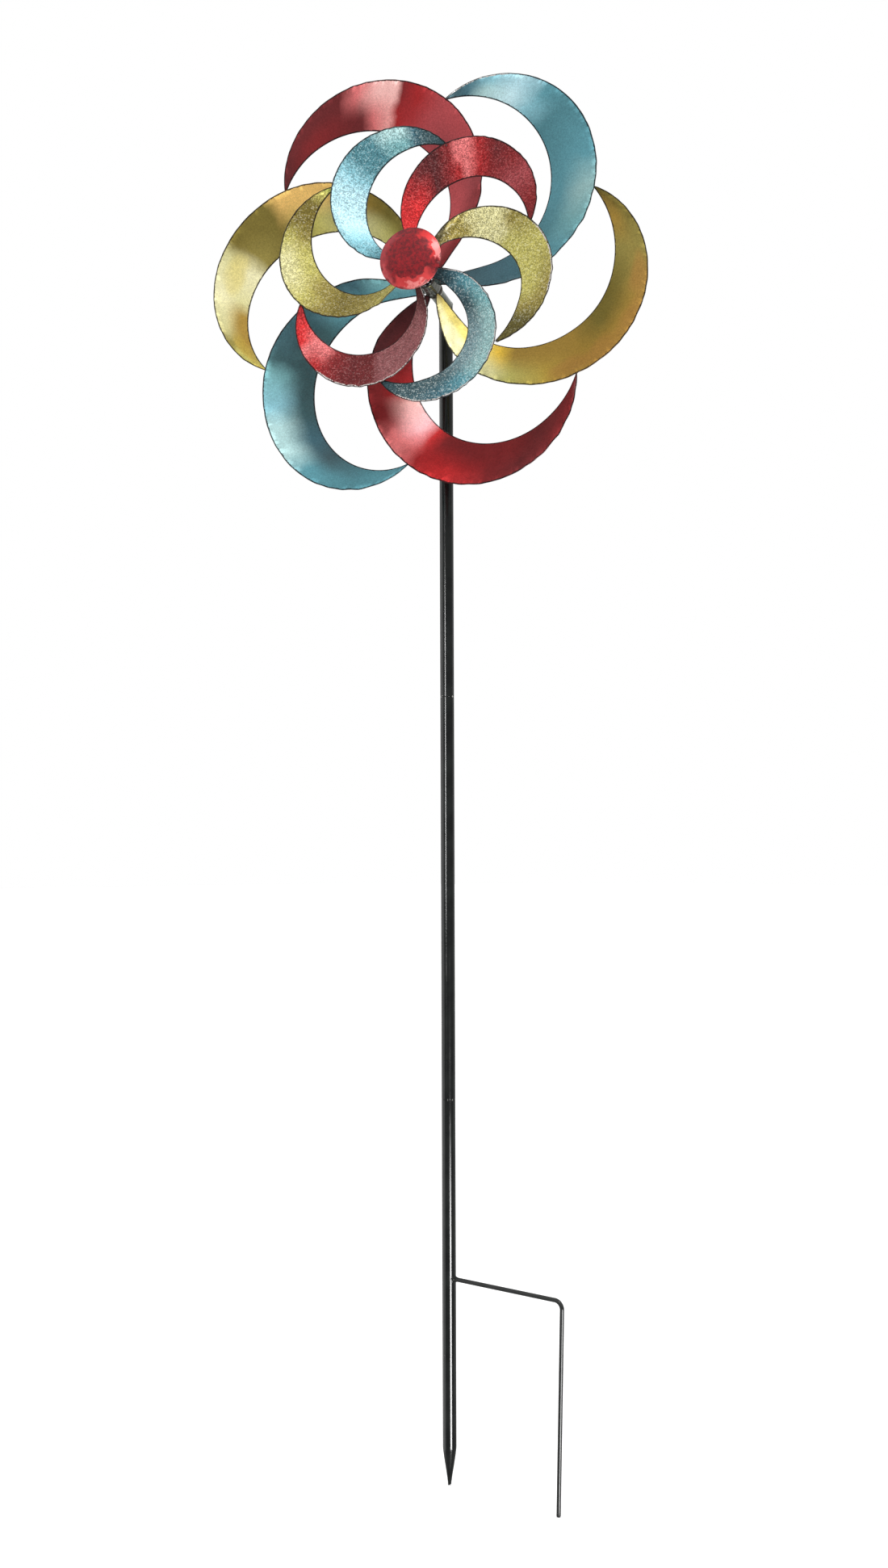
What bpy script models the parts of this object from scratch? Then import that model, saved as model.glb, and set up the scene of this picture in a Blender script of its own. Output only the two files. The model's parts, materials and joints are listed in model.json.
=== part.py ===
"""Double wind spinner on a three-section garden stake, as an assembly of separate solids.

Metres, +Z up, front towards -Y. The origin is on the stake's axis at the ground line, level with
the prong's arm. Both rotors turn on one axle, which leans back a few degrees from level.
"""

import math
from dataclasses import dataclass

import bmesh
import bpy
from mathutils import Matrix, Vector

# ---- driving dimensions ----------------------------------------------------------------------
GAP = 0.0003

TUBE_RADIUS = 0.0095
TUBE_WALL = 0.0012
SPIGOT_LENGTH = 0.055
SPIGOT_SHOULDER = 0.004
SPIGOT_LEAD = 0.002
SPIGOT_NOSE = 0.0006
STAKE_BOTTOM = -0.285
LOWER_JOINT_Z = 0.246
UPPER_JOINT_Z = 0.799
NECK_Z = 1.337
POINT_LENGTH = 0.052
POINT_HALF_WIDTH = 0.0022
POINT_HALF_DEPTH = 0.0042
POINT_RINGS = 6
POINT_STRAIGHTNESS = 0.65
CRIMP_FLOOR = (0.02, 0.03)
TUBE_SIDES = 32

PRONG_RADIUS = 0.003
PRONG_REACH = 0.1834
PRONG_HEADING = math.radians(-20.7)
PRONG_ARM_Z = -0.0007
PRONG_BEND_RADIUS = 0.011
PRONG_BEND_STEPS = 6
PRONG_LEAN = 0.0064

SHAFT_TILT = math.radians(5.0)
AXLE_RADIUS = 0.004
AXLE_START = 0.018
AXLE_END = 0.1765
AXLE_CHAMFER = 0.0008
NECK_END = 0.056
NECK_PLUG_LENGTH = 0.008
MITRE_BLOCK = 0.1

# Rotors: six crescents each, the front ones curling the other way from the rear ones.
REAR_PHASE = math.radians(-5.3)
FRONT_PHASE = math.radians(-15.4)
REAR_ROOT = 0.0895
FRONT_ROOT = 0.151
SHEET = 0.001
BLADE_STEPS = 24
BLADE_ROWS = 2
ROOT_BLEND = 0.86
ROOT_RADIUS = 0.0136
ROOT_ANGLES = (math.radians(6.0), math.radians(50.0))
TIP_OPENS_ABOVE = math.radians(60.0)
ROOT_OPENS_BELOW = math.radians(-40.0)
OUTER_RISE_SKEW = 0.60
INNER_DROP_SKEW = 1.67


@dataclass
class Edge:
    """One edge of a crescent: an arc from tip to root whose radius grows towards either end."""

    centre: tuple
    radius: float
    tip_angle: float
    root_angle: float
    tip_opening: float
    root_opening: float


@dataclass
class HandBend:
    """How far one blade's edges stand outward of the common crescent, as bent by hand.

    Near the root the blade may also be pinched narrower, by an angle round the hub.
    """

    tip_outer: float = 0.0
    tip_inner: float = 0.0
    middle_outer: float = 0.0
    root_outer: float = 0.0
    root_inner: float = 0.0
    root_pinch: float = 0.0


@dataclass
class Crescent:
    """A blade seen from the front with its root at the hub and its tip straight up."""

    outer: Edge
    inner: Edge
    tip_rise: float
    outer_rise: float
    inner_drop: float
    root_drop: float
    mirrored: bool


REAR_CRESCENT = Crescent(
    outer=Edge((0.0780, 0.1385), 0.1360, 127.0, -116.0, 0.0, 0.0075),
    inner=Edge((0.0330, 0.1360), 0.1160, 109.0, -97.0, 0.0, 0.0),
    tip_rise=0.0045,
    outer_rise=0.0090,
    inner_drop=0.0210,
    root_drop=0.0165,
    mirrored=False,
)
FRONT_CRESCENT = Crescent(
    outer=Edge((0.0546, 0.0844), 0.0855, 125.5, -116.0, 0.0061, 0.0034),
    inner=Edge((0.0182, 0.0797), 0.0745, 102.0, -97.0, 0.0050, 0.0),
    tip_rise=0.0035,
    outer_rise=0.0065,
    inner_drop=0.0126,
    root_drop=0.0,
    mirrored=True,
)

# One for each blade, anticlockwise from the first as seen from the front.
BEND_REACH = 0.5
SWELL_SCALE = 6.75
REAR_BENDS = (
    HandBend(tip_outer=0.0035, root_outer=0.0020),
    HandBend(tip_outer=0.0040, root_outer=0.0030),
    HandBend(tip_outer=0.0085, tip_inner=0.0020),
    HandBend(tip_outer=0.0125, tip_inner=0.0055),
    HandBend(
        tip_outer=0.0015,
        tip_inner=-0.0010,
        root_outer=0.0105,
        root_pinch=math.radians(22.0),
    ),
    HandBend(
        tip_outer=0.0010,
        tip_inner=-0.0035,
        root_outer=0.0080,
        root_inner=0.0070,
        root_pinch=math.radians(34.0),
    ),
)
FRONT_BENDS = (
    HandBend(),
    HandBend(),
    HandBend(tip_outer=0.0005),
    HandBend(
        tip_outer=0.0035,
        tip_inner=-0.0005,
        middle_outer=-0.0045,
        root_outer=-0.0010,
        root_inner=-0.0050,
    ),
    HandBend(tip_inner=-0.0035, root_outer=0.0035, root_inner=0.0040),
    HandBend(tip_outer=0.0045),
)

HUB_RADIUS = 0.013
HUB_BORE = 0.0113
HUB_GROOVE = 0.0008
HUB_CHAMFER = 0.0006
REAR_HUB = (0.070, 0.100)
FRONT_HUB = (0.136, 0.162)

BEARING_WIDTH = 0.007
BEARING_RADIUS = 0.011
BEARING_BORE = 0.0043
RACE_INNER_OD = 0.0059
RACE_OUTER_ID = 0.0096
BALL_CIRCLE = 0.00775
BALL_RADIUS = 0.0015
BALLS = 7
CAGE_HALF_WIDTH = 0.0011
CAGE_HALF_WALL = 0.00055
BEARING_INSET = 0.0012
SPACER_RADIUS = 0.0056
RACE_CHAMFER = 0.0004

BACK_WASHER_RADIUS = 0.0115
BACK_WASHER_THICKNESS = 0.0018
FRONT_WASHER_RADIUS = 0.008
FRONT_WASHER_THICKNESS = 0.0015
NUT_ACROSS_FLATS = 0.013
NUT_CHAMFER = 0.0006
LOCK_NUT_HEIGHT = 0.006
CAP_RADIUS = 0.041
CAP_RISE = 0.011
CAP_RIM = 0.1700
CAP_SHEET = 0.001
CAP_RINGS = 5
CAP_SPHERE = (CAP_RADIUS**2 + CAP_RISE**2) / (2 * CAP_RISE)

RED = (0.42, 0.03, 0.04)
TEAL = (0.10, 0.30, 0.36)
GOLD = (0.42, 0.36, 0.08)
BLACK = (0.012, 0.012, 0.013)
STEEL = (0.45, 0.45, 0.46)
ZINC = (0.55, 0.54, 0.50)
REAR_COLOURS = (("teal", TEAL), ("red", RED), ("gold", GOLD))
FRONT_COLOURS = (("teal", TEAL), ("gold", GOLD), ("red", RED))


# ---- scene helpers ---------------------------------------------------------------------------
def clear_scene():
    """Remove every object and collection of the start-up scene."""
    for item in list(bpy.data.objects):
        bpy.data.objects.remove(item, do_unlink=True)
    for group in list(bpy.data.collections):
        bpy.data.collections.remove(group)


def new_collection(name):
    """Make a collection in the scene."""
    group = bpy.data.collections.new(name)
    bpy.context.scene.collection.children.link(group)
    return group


def empty(name, parent=None, location=(0, 0, 0), rotation=(0, 0, 0)):
    """Make a frame that other pieces hang from."""
    frame = bpy.data.objects.new(name, None)
    frame.empty_display_size = 0.03
    PARTS.objects.link(frame)
    frame.parent = parent
    frame.location = location
    frame.rotation_euler = rotation
    return frame


def paint(name, colour, metallic, roughness):
    """Make a Principled material for one part."""
    material = bpy.data.materials.new(name)
    material.use_nodes = True
    shader = material.node_tree.nodes["Principled BSDF"]
    shader.inputs["Base Color"].default_value = (*colour, 1.0)
    shader.inputs["Metallic"].default_value = metallic
    shader.inputs["Roughness"].default_value = roughness
    return material


def add_part(name, mesh, parent, colour, metallic=0.6, roughness=0.4):
    """Place a mesh as a named part with a material of its own."""
    part = bpy.data.objects.new(name, mesh)
    PARTS.objects.link(part)
    part.parent = parent
    part.data.materials.clear()
    part.data.materials.append(paint(name + "_finish", colour, metallic, roughness))
    return part


def evaluated_mesh(item):
    """Give an object's mesh with its modifiers applied, and remove the object."""
    bpy.context.view_layer.update()
    graph = bpy.context.evaluated_depsgraph_get()
    mesh = bpy.data.meshes.new_from_object(item.evaluated_get(graph))
    bpy.data.objects.remove(item, do_unlink=True)
    return mesh


def smooth(mesh, angle=35.0):
    """Shade a round piece smooth and keep its real corners."""
    mesh.shade_smooth()
    mesh.set_sharp_from_angle(angle=math.radians(angle))


def hide_cutter(item):
    """Keep a cutter out of the model."""
    item.hide_render = True
    item.display_type = "WIRE"
    for group in list(item.users_collection):
        group.objects.unlink(item)
    CUTTERS.objects.link(item)
    return item


def boolean(part, other, operation):
    """Cut or join a part with another solid."""
    step = part.modifiers.new(operation.lower(), "BOOLEAN")
    step.object = other
    step.operation = operation
    step.solver = "EXACT"


# ---- shape helpers ---------------------------------------------------------------------------
def turned_mesh(name, profile, sides=24, closed=True):
    """Turn a profile of (radius, height) about Z. It runs down its outer side, then back up."""
    mesh = bpy.data.meshes.new(name)
    shape = bmesh.new()
    points = [shape.verts.new((radius, 0, height)) for radius, height in profile]
    for first, second in zip(points, points[1:]):
        shape.edges.new((first, second))
    if closed:
        shape.edges.new((points[-1], points[0]))
    shape.to_mesh(mesh)
    shape.free()
    item = bpy.data.objects.new(name, mesh)
    PARTS.objects.link(item)
    turn = item.modifiers.new("turn", "SCREW")
    turn.axis = "Z"
    turn.angle = math.tau
    turn.steps = sides
    turn.render_steps = sides
    turn.use_merge_vertices = True
    turn.merge_threshold = 0.00001
    turn.use_normal_calculate = False
    solid = evaluated_mesh(item)
    solid.name = name
    return solid


def ring_profile(outer, inner, low, high, chamfer=0.0):
    """Give the section of a plain ring, with its outer corners chamfered if asked."""
    if chamfer == 0.0:
        return [(outer, high), (outer, low), (inner, low), (inner, high)]
    return [
        (outer - chamfer, high),
        (outer, high - chamfer),
        (outer, low + chamfer),
        (outer - chamfer, low),
        (inner, low),
        (inner, high),
    ]


def add_ring(name, parent, colour, outer, inner, low, high, chamfer=0.0, **finish):
    """Add a washer, sleeve or race that lies along its parent's Z axis."""
    mesh = turned_mesh(name, ring_profile(outer, inner, low, high, chamfer))
    smooth(mesh)
    return add_part(name, mesh, parent, colour, **finish)


def tube_with_spigot(name, shoulder_z, top_z):
    """Make a pole tube whose swaged lower end plugs into the tube below."""
    inside = TUBE_RADIUS - TUBE_WALL
    spigot = inside - GAP
    spigot_bore = spigot - TUBE_WALL
    end = shoulder_z - SPIGOT_LENGTH
    profile = [
        (TUBE_RADIUS, top_z),
        (TUBE_RADIUS, shoulder_z),
        (spigot, shoulder_z),
        (spigot, end + SPIGOT_LEAD),
        (spigot - SPIGOT_NOSE, end),
        (spigot_bore, end),
        (spigot_bore, shoulder_z + SPIGOT_SHOULDER),
        (inside, shoulder_z + 2 * SPIGOT_SHOULDER),
        (inside, top_z),
    ]
    return turned_mesh(name, profile, TUBE_SIDES)


# ---- stake -----------------------------------------------------------------------------------
def lower_pole():
    """The bottom tube, open at the top for the spigot and crimped to a chisel point below."""
    taper_top = STAKE_BOTTOM + POINT_LENGTH
    inside = TUBE_RADIUS - TUBE_WALL
    floor_middle, floor_edge = (taper_top + height for height in CRIMP_FLOOR)
    profile = [(0.0, floor_middle), (inside, floor_edge), (inside, LOWER_JOINT_Z - GAP)]
    profile += [(TUBE_RADIUS, LOWER_JOINT_Z - GAP)]
    for index in range(POINT_RINGS + 1):
        profile.append((TUBE_RADIUS, taper_top - POINT_LENGTH * index / POINT_RINGS))
    profile.append((0.0, STAKE_BOTTOM))
    mesh = turned_mesh("lower_pole", profile, TUBE_SIDES, closed=False)
    for vertex in mesh.vertices:
        along = max(0.0, (taper_top - vertex.co.z) / POINT_LENGTH)
        eased = mix(along * along * (3.0 - 2.0 * along), along, POINT_STRAIGHTNESS)
        vertex.co.x *= 1.0 + (POINT_HALF_WIDTH / TUBE_RADIUS - 1.0) * eased
        vertex.co.y *= 1.0 + (POINT_HALF_DEPTH / TUBE_RADIUS - 1.0) * eased
    smooth(mesh)
    return add_part("lower_pole", mesh, STAKE, BLACK, metallic=0.2, roughness=0.4)


def prong():
    """The bent rod welded to the stake: an arm to step on and a leg beside the point."""
    root = TUBE_RADIUS + GAP
    bend = PRONG_BEND_RADIUS
    points = [(root, PRONG_ARM_Z), (0.5 * PRONG_REACH, PRONG_ARM_Z)]
    for index in range(PRONG_BEND_STEPS + 1):
        angle = 0.5 * math.pi * index / PRONG_BEND_STEPS
        across = PRONG_REACH - bend + bend * math.sin(angle)
        points.append((across, PRONG_ARM_Z - bend + bend * math.cos(angle)))
    points.append((PRONG_REACH - 0.5 * PRONG_LEAN, 0.5 * STAKE_BOTTOM))
    points.append((PRONG_REACH - PRONG_LEAN, STAKE_BOTTOM))
    curve = bpy.data.curves.new("prong", "CURVE")
    curve.dimensions = "3D"
    curve.bevel_depth = PRONG_RADIUS
    curve.bevel_resolution = 2
    curve.use_fill_caps = True
    spline = curve.splines.new("POLY")
    spline.points.add(len(points) - 1)
    for point, (across, height) in zip(spline.points, points):
        point.co = (across, 0.0, height, 1.0)
    rod = bpy.data.objects.new("prong", curve)
    PARTS.objects.link(rod)
    rod.parent = STAKE
    rod.rotation_euler.z = PRONG_HEADING
    curve.materials.append(paint("prong_finish", BLACK, 0.2, 0.4))
    return rod


def middle_pole():
    """The middle tube, with a spigot below and a socket above."""
    mesh = tube_with_spigot("middle_pole", LOWER_JOINT_Z, UPPER_JOINT_Z - GAP)
    smooth(mesh)
    return add_part("middle_pole", mesh, STAKE, BLACK, metallic=0.2, roughness=0.4)


# ---- head ------------------------------------------------------------------------------------
def mitre_cutter(name, side):
    """A block whose face is the plane that halves the corner of pole and neck."""
    upward = Vector((0, 0, 1))
    forward = Vector((0, -math.cos(SHAFT_TILT), math.sin(SHAFT_TILT)))
    normal = (upward + forward).normalized() * side
    bpy.ops.mesh.primitive_cube_add(size=MITRE_BLOCK)
    block = bpy.context.object
    block.name = name
    block.rotation_mode = "QUATERNION"
    block.rotation_quaternion = Vector((0, 0, 1)).rotation_difference(normal)
    block.location = Vector((0, 0, NECK_Z)) + normal * 0.5 * (MITRE_BLOCK - GAP)
    return hide_cutter(block)


def upper_pole():
    """The top tube, with a spigot below and its head end cut on the mitre."""
    mesh = tube_with_spigot("upper_pole", UPPER_JOINT_Z, NECK_Z + 2 * TUBE_RADIUS)
    smooth(mesh)
    pole = add_part("upper_pole", mesh, STAKE, BLACK, metallic=0.2, roughness=0.4)
    boolean(pole, mitre_cutter("upper_pole_mitre", 1), "DIFFERENCE")
    return pole


def neck_arm():
    """The short tube welded across the top of the pole, which carries the axle."""
    inside = TUBE_RADIUS - TUBE_WALL
    profile = ring_profile(TUBE_RADIUS, inside, -2 * TUBE_RADIUS, NECK_END)
    mesh = turned_mesh("neck_arm", profile, TUBE_SIDES)
    smooth(mesh)
    arm = add_part("neck_arm", mesh, HEAD, BLACK, metallic=0.2, roughness=0.4)
    boolean(arm, mitre_cutter("neck_arm_mitre", -1), "DIFFERENCE")
    return arm


def axle():
    """The rod that both rotors turn on, with its two ends chamfered."""
    chamfer = AXLE_CHAMFER
    profile = [
        (0.0, AXLE_END),
        (AXLE_RADIUS - chamfer, AXLE_END),
        (AXLE_RADIUS, AXLE_END - chamfer),
        (AXLE_RADIUS, AXLE_START + chamfer),
        (AXLE_RADIUS - chamfer, AXLE_START),
        (0.0, AXLE_START),
    ]
    mesh = turned_mesh("axle", profile, closed=False)
    smooth(mesh)
    return add_part("axle", mesh, HEAD, STEEL, metallic=1.0, roughness=0.3)


def hexagon_nut(name, low, high, colour):
    """A hexagon nut with a round bore, on the axle."""
    bpy.ops.mesh.primitive_cylinder_add(
        vertices=6, radius=NUT_ACROSS_FLATS / math.sqrt(3.0), depth=high - low
    )
    body = bpy.context.object
    bevel = body.modifiers.new("chamfer", "BEVEL")
    bevel.width = NUT_CHAMFER
    bevel.segments = 1
    bpy.ops.mesh.primitive_cylinder_add(
        vertices=24, radius=AXLE_RADIUS + GAP, depth=2 * (high - low)
    )
    bore = hide_cutter(bpy.context.object)
    bore.name = name + "_bore"
    boolean(body, bore, "DIFFERENCE")
    mesh = evaluated_mesh(body)
    mesh.name = name
    bpy.data.objects.remove(bore, do_unlink=True)
    mesh.transform(Matrix.Translation((0, 0, 0.5 * (low + high))))
    return add_part(name, mesh, HEAD, colour, metallic=1.0, roughness=0.35)


def cap_dome():
    """The domed round cap in front of the axle's end."""
    centre = CAP_RIM + CAP_RISE - CAP_SPHERE
    reach = math.asin(CAP_RADIUS / CAP_SPHERE)
    angles = [reach * index / CAP_RINGS for index in range(CAP_RINGS + 1)]
    profile = [(CAP_SPHERE * math.sin(a), centre + CAP_SPHERE * math.cos(a)) for a in angles]
    inner = CAP_SPHERE - CAP_SHEET
    profile += [(inner * math.sin(a), centre + inner * math.cos(a)) for a in reversed(angles)]
    mesh = turned_mesh("cap_dome", profile, TUBE_SIDES, closed=False)
    smooth(mesh)
    return add_part("cap_dome", mesh, HEAD, RED)


# ---- bearings --------------------------------------------------------------------------------
def ball_cage_mesh():
    """A ring of balls in their cage, about the origin."""
    half = CAGE_HALF_WIDTH
    wall = CAGE_HALF_WALL
    profile = ring_profile(BALL_CIRCLE + wall, BALL_CIRCLE - wall, -half, half)
    cage = bpy.data.objects.new("cage", turned_mesh("cage", profile, 2 * BALLS))
    PARTS.objects.link(cage)
    balls = []
    for index in range(BALLS):
        angle = math.tau * index / BALLS
        place = (BALL_CIRCLE * math.cos(angle), BALL_CIRCLE * math.sin(angle), 0)
        bpy.ops.mesh.primitive_uv_sphere_add(
            segments=6, ring_count=4, radius=BALL_RADIUS, location=place
        )
        ball = hide_cutter(bpy.context.object)
        balls.append(ball)
        boolean(cage, ball, "UNION")
    mesh = evaluated_mesh(cage)
    for ball in balls:
        bpy.data.objects.remove(ball, do_unlink=True)
    mesh.name = "ball_cage"
    return mesh


def bearing(prefix, low, rotor):
    """A deep-groove ball bearing: inner race on the axle, outer race and balls in the hub."""
    high = low + BEARING_WIDTH
    steel = {"metallic": 1.0, "roughness": 0.25}
    ends = (low, high)
    outer = (BEARING_RADIUS, RACE_OUTER_ID, *ends, RACE_CHAMFER)
    add_ring(prefix + "_inner_race", HEAD, STEEL, RACE_INNER_OD, BEARING_BORE, *ends, **steel)
    add_ring(prefix + "_outer_race", rotor, STEEL, *outer, **steel)
    cage = add_part(prefix + "_ball_cage", CAGE.copy(), rotor, STEEL, **steel)
    cage.location.z = 0.5 * (low + high)


# ---- rotors ----------------------------------------------------------------------------------
def mix(first, second, share):
    """Blend two values."""
    return first + (second - first) * share


def swell(distance):
    """A bulge that rises at once from a blade's end and dies away smoothly, 1 at its highest."""
    share = min(1.0, distance / BEND_REACH)
    return SWELL_SCALE * share * (1.0 - share) ** 2


def edge_point(edge, along, outward):
    """A point of one edge, along 0 at the tip to 1 at the root, moved outward by a distance."""
    angle = math.radians(mix(edge.tip_angle, edge.root_angle, along))
    radius = edge.radius + edge.tip_opening * max(0.0, angle - TIP_OPENS_ABOVE) + outward
    radius += edge.root_opening * max(0.0, ROOT_OPENS_BELOW - angle)
    return Vector(edge.centre) + radius * Vector((math.cos(angle), math.sin(angle)))


def crescent_point(shape, bend, along, across):
    """A point of the crescent, across 0 at its outer edge to 1 at its inner edge.

    The outer edge is bowed forward and the inner edge back, which pitches the blade to the wind.
    """
    tip_swell = swell(along)
    root_swell = swell(1.0 - along)
    belly = math.sin(math.pi * along) ** 2
    bow = bend.tip_outer * tip_swell + bend.middle_outer * belly + bend.root_outer * root_swell
    hollow = bend.tip_inner * tip_swell + bend.root_inner * root_swell
    outer = edge_point(shape.outer, along, bow)
    inner = edge_point(shape.inner, along, hollow)
    place = mix(outer, inner, across)
    near_root = max(0.0, (along - ROOT_BLEND) / (1.0 - ROOT_BLEND))
    near_root = near_root * near_root * (3.0 - 2.0 * near_root)
    root_low, root_high = ROOT_ANGLES
    root_angle = mix(root_low, root_high - bend.root_pinch, across)
    root = ROOT_RADIUS * Vector((math.cos(root_angle), math.sin(root_angle)))
    place = mix(place, root, near_root)
    rise = shape.tip_rise * (1.0 - along) ** 2 - shape.root_drop * near_root
    outer_rise = shape.outer_rise * math.sin(math.pi * along**OUTER_RISE_SKEW)
    inner_rise = -shape.inner_drop * math.sin(math.pi * along**INNER_DROP_SKEW)
    side = -1.0 if shape.mirrored else 1.0
    return Vector((side * place.x, place.y, rise + mix(outer_rise, inner_rise, across)))


def crescent_mesh(name, shape, bend):
    """The open sheet of one blade, from a grid bent to the crescent."""
    bpy.ops.mesh.primitive_grid_add(x_subdivisions=BLADE_STEPS, y_subdivisions=BLADE_ROWS, size=1)
    grid = bpy.context.object
    mesh = grid.data
    mesh.name = name
    for vertex in mesh.vertices:
        vertex.co = crescent_point(shape, bend, vertex.co.x + 0.5, vertex.co.y + 0.5)
    bpy.data.objects.remove(grid, do_unlink=True)
    smooth(mesh, 60.0)
    return mesh


def rotor_blades(prefix, rotor, shape, bends, root, colours):
    """The blades round a hub, each with its tip behind the next one's outer edge."""
    for index, bend in enumerate(bends):
        colour_name, colour = colours[index % len(colours)]
        name = f"{prefix}_blade_{colour_name}_{index // len(colours) + 1}"
        mesh = crescent_mesh(name, shape, bend)
        blade = add_part(name, mesh, rotor, colour, metallic=0.7, roughness=0.4)
        blade.location.z = root
        blade.rotation_euler.z = math.tau * index / len(bends)
        sheet = blade.modifiers.new("sheet", "SOLIDIFY")
        sheet.thickness = SHEET
        sheet.offset = 0.0
        sheet.use_even_offset = True


def hub(prefix, rotor, low, high):
    """The barrel that the blades are welded to, with two turned grooves."""
    third = (high - low) / 3.0
    groove = 0.5 * HUB_GROOVE
    chamfer = HUB_CHAMFER
    profile = [(HUB_RADIUS - chamfer, high), (HUB_RADIUS, high - chamfer)]
    for centre in (high - third, low + third):
        profile += [
            (HUB_RADIUS, centre + 2 * groove),
            (HUB_RADIUS - HUB_GROOVE, centre + groove),
            (HUB_RADIUS - HUB_GROOVE, centre - groove),
            (HUB_RADIUS, centre - 2 * groove),
        ]
    profile += [
        (HUB_RADIUS, low + chamfer),
        (HUB_RADIUS - chamfer, low),
        (HUB_BORE, low),
        (HUB_BORE, high),
    ]
    mesh = turned_mesh(prefix + "_hub", profile)
    smooth(mesh)
    return add_part(prefix + "_hub", mesh, rotor, BLACK, metallic=0.5, roughness=0.35)


def rotor_bearings(prefix, rotor, low, high):
    """A bearing in each end of the hub, and the sleeve that holds them apart."""
    back_low = low + BEARING_INSET
    front_low = high - BEARING_INSET - BEARING_WIDTH
    bearing(prefix + "_bearing_a", back_low, rotor)
    bearing(prefix + "_bearing_b", front_low, rotor)
    add_ring(
        prefix + "_bearing_spacer",
        HEAD,
        ZINC,
        SPACER_RADIUS,
        AXLE_RADIUS + GAP,
        back_low + BEARING_WIDTH + GAP,
        front_low - GAP,
        metallic=1.0,
        roughness=0.35,
    )


# ---- assembly --------------------------------------------------------------------------------
clear_scene()
PARTS = new_collection("wind_spinner")
CUTTERS = new_collection("cutters")

STAKE = empty("stake_frame")
HEAD = empty("head_frame", STAKE, (0, 0, NECK_Z), (math.pi / 2 - SHAFT_TILT, 0, 0))
REAR_ROTOR = empty("rear_rotor_frame", HEAD, rotation=(0, 0, REAR_PHASE))
FRONT_ROTOR = empty("front_rotor_frame", HEAD, rotation=(0, 0, FRONT_PHASE))

lower_pole()
prong()
middle_pole()
upper_pole()
neck_arm()
axle()

BORE = AXLE_RADIUS + GAP
PLUG_RADIUS = TUBE_RADIUS - TUBE_WALL - GAP
ZINC_FINISH = {"metallic": 1.0, "roughness": 0.35}
NECK_PLUG = (NECK_END - NECK_PLUG_LENGTH, NECK_END)
add_ring("neck_plug", HEAD, BLACK, PLUG_RADIUS, BORE, *NECK_PLUG)
BACK_WASHER = (NECK_END + GAP, NECK_END + BACK_WASHER_THICKNESS)
add_ring("back_washer", HEAD, ZINC, BACK_WASHER_RADIUS, BORE, *BACK_WASHER, **ZINC_FINISH)
BACK_SPACER = (BACK_WASHER[1] + GAP, REAR_HUB[0] + BEARING_INSET - GAP)
add_ring("back_spacer", HEAD, ZINC, SPACER_RADIUS, BORE, *BACK_SPACER, **ZINC_FINISH)
ROTOR_SPACER = (REAR_HUB[1] - BEARING_INSET + GAP, FRONT_HUB[0] + BEARING_INSET - GAP)
add_ring(
    "rotor_spacer", HEAD, BLACK, SPACER_RADIUS, BORE, *ROTOR_SPACER, RACE_CHAMFER, **ZINC_FINISH
)
WASHER_LOW = FRONT_HUB[1] - BEARING_INSET + GAP
WASHER_HIGH = WASHER_LOW + FRONT_WASHER_THICKNESS
FRONT_WASHER = (FRONT_WASHER_RADIUS, BORE, WASHER_LOW, WASHER_HIGH)
add_ring("front_washer", HEAD, ZINC, *FRONT_WASHER, **ZINC_FINISH)
LOCK_NUT_TOP = WASHER_HIGH + GAP + LOCK_NUT_HEIGHT
hexagon_nut("lock_nut", WASHER_HIGH + GAP, LOCK_NUT_TOP, ZINC)
NUT_CORNER = NUT_ACROSS_FLATS / math.sqrt(3.0)
CAP_FALL = CAP_SPHERE - math.sqrt(CAP_SPHERE**2 - NUT_CORNER**2)
CAP_NUT_TOP = CAP_RIM + CAP_RISE - CAP_SHEET - CAP_FALL - GAP
hexagon_nut("cap_nut", LOCK_NUT_TOP + GAP, CAP_NUT_TOP, ZINC)
cap_dome()

CAGE = ball_cage_mesh()
for PREFIX, ROTOR, SPAN in (("rear", REAR_ROTOR, REAR_HUB), ("front", FRONT_ROTOR, FRONT_HUB)):
    hub(PREFIX, ROTOR, *SPAN)
    rotor_bearings(PREFIX, ROTOR, *SPAN)
rotor_blades("rear", REAR_ROTOR, REAR_CRESCENT, REAR_BENDS, REAR_ROOT, REAR_COLOURS)
rotor_blades("front", FRONT_ROTOR, FRONT_CRESCENT, FRONT_BENDS, FRONT_ROOT, FRONT_COLOURS)
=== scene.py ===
"""Looks of the double wind spinner: a fine mesh and a procedural finish for every piece.

Metres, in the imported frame. Places and sizes of the plain pieces are measured on the frame's nodes.
The blades repeat the crescents of the frame, on a finer grid, with their dents and hand bends.
"""

import json
import math
from dataclasses import dataclass

import bmesh
import bpy
from mathutils import Matrix, Vector, noise


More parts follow.
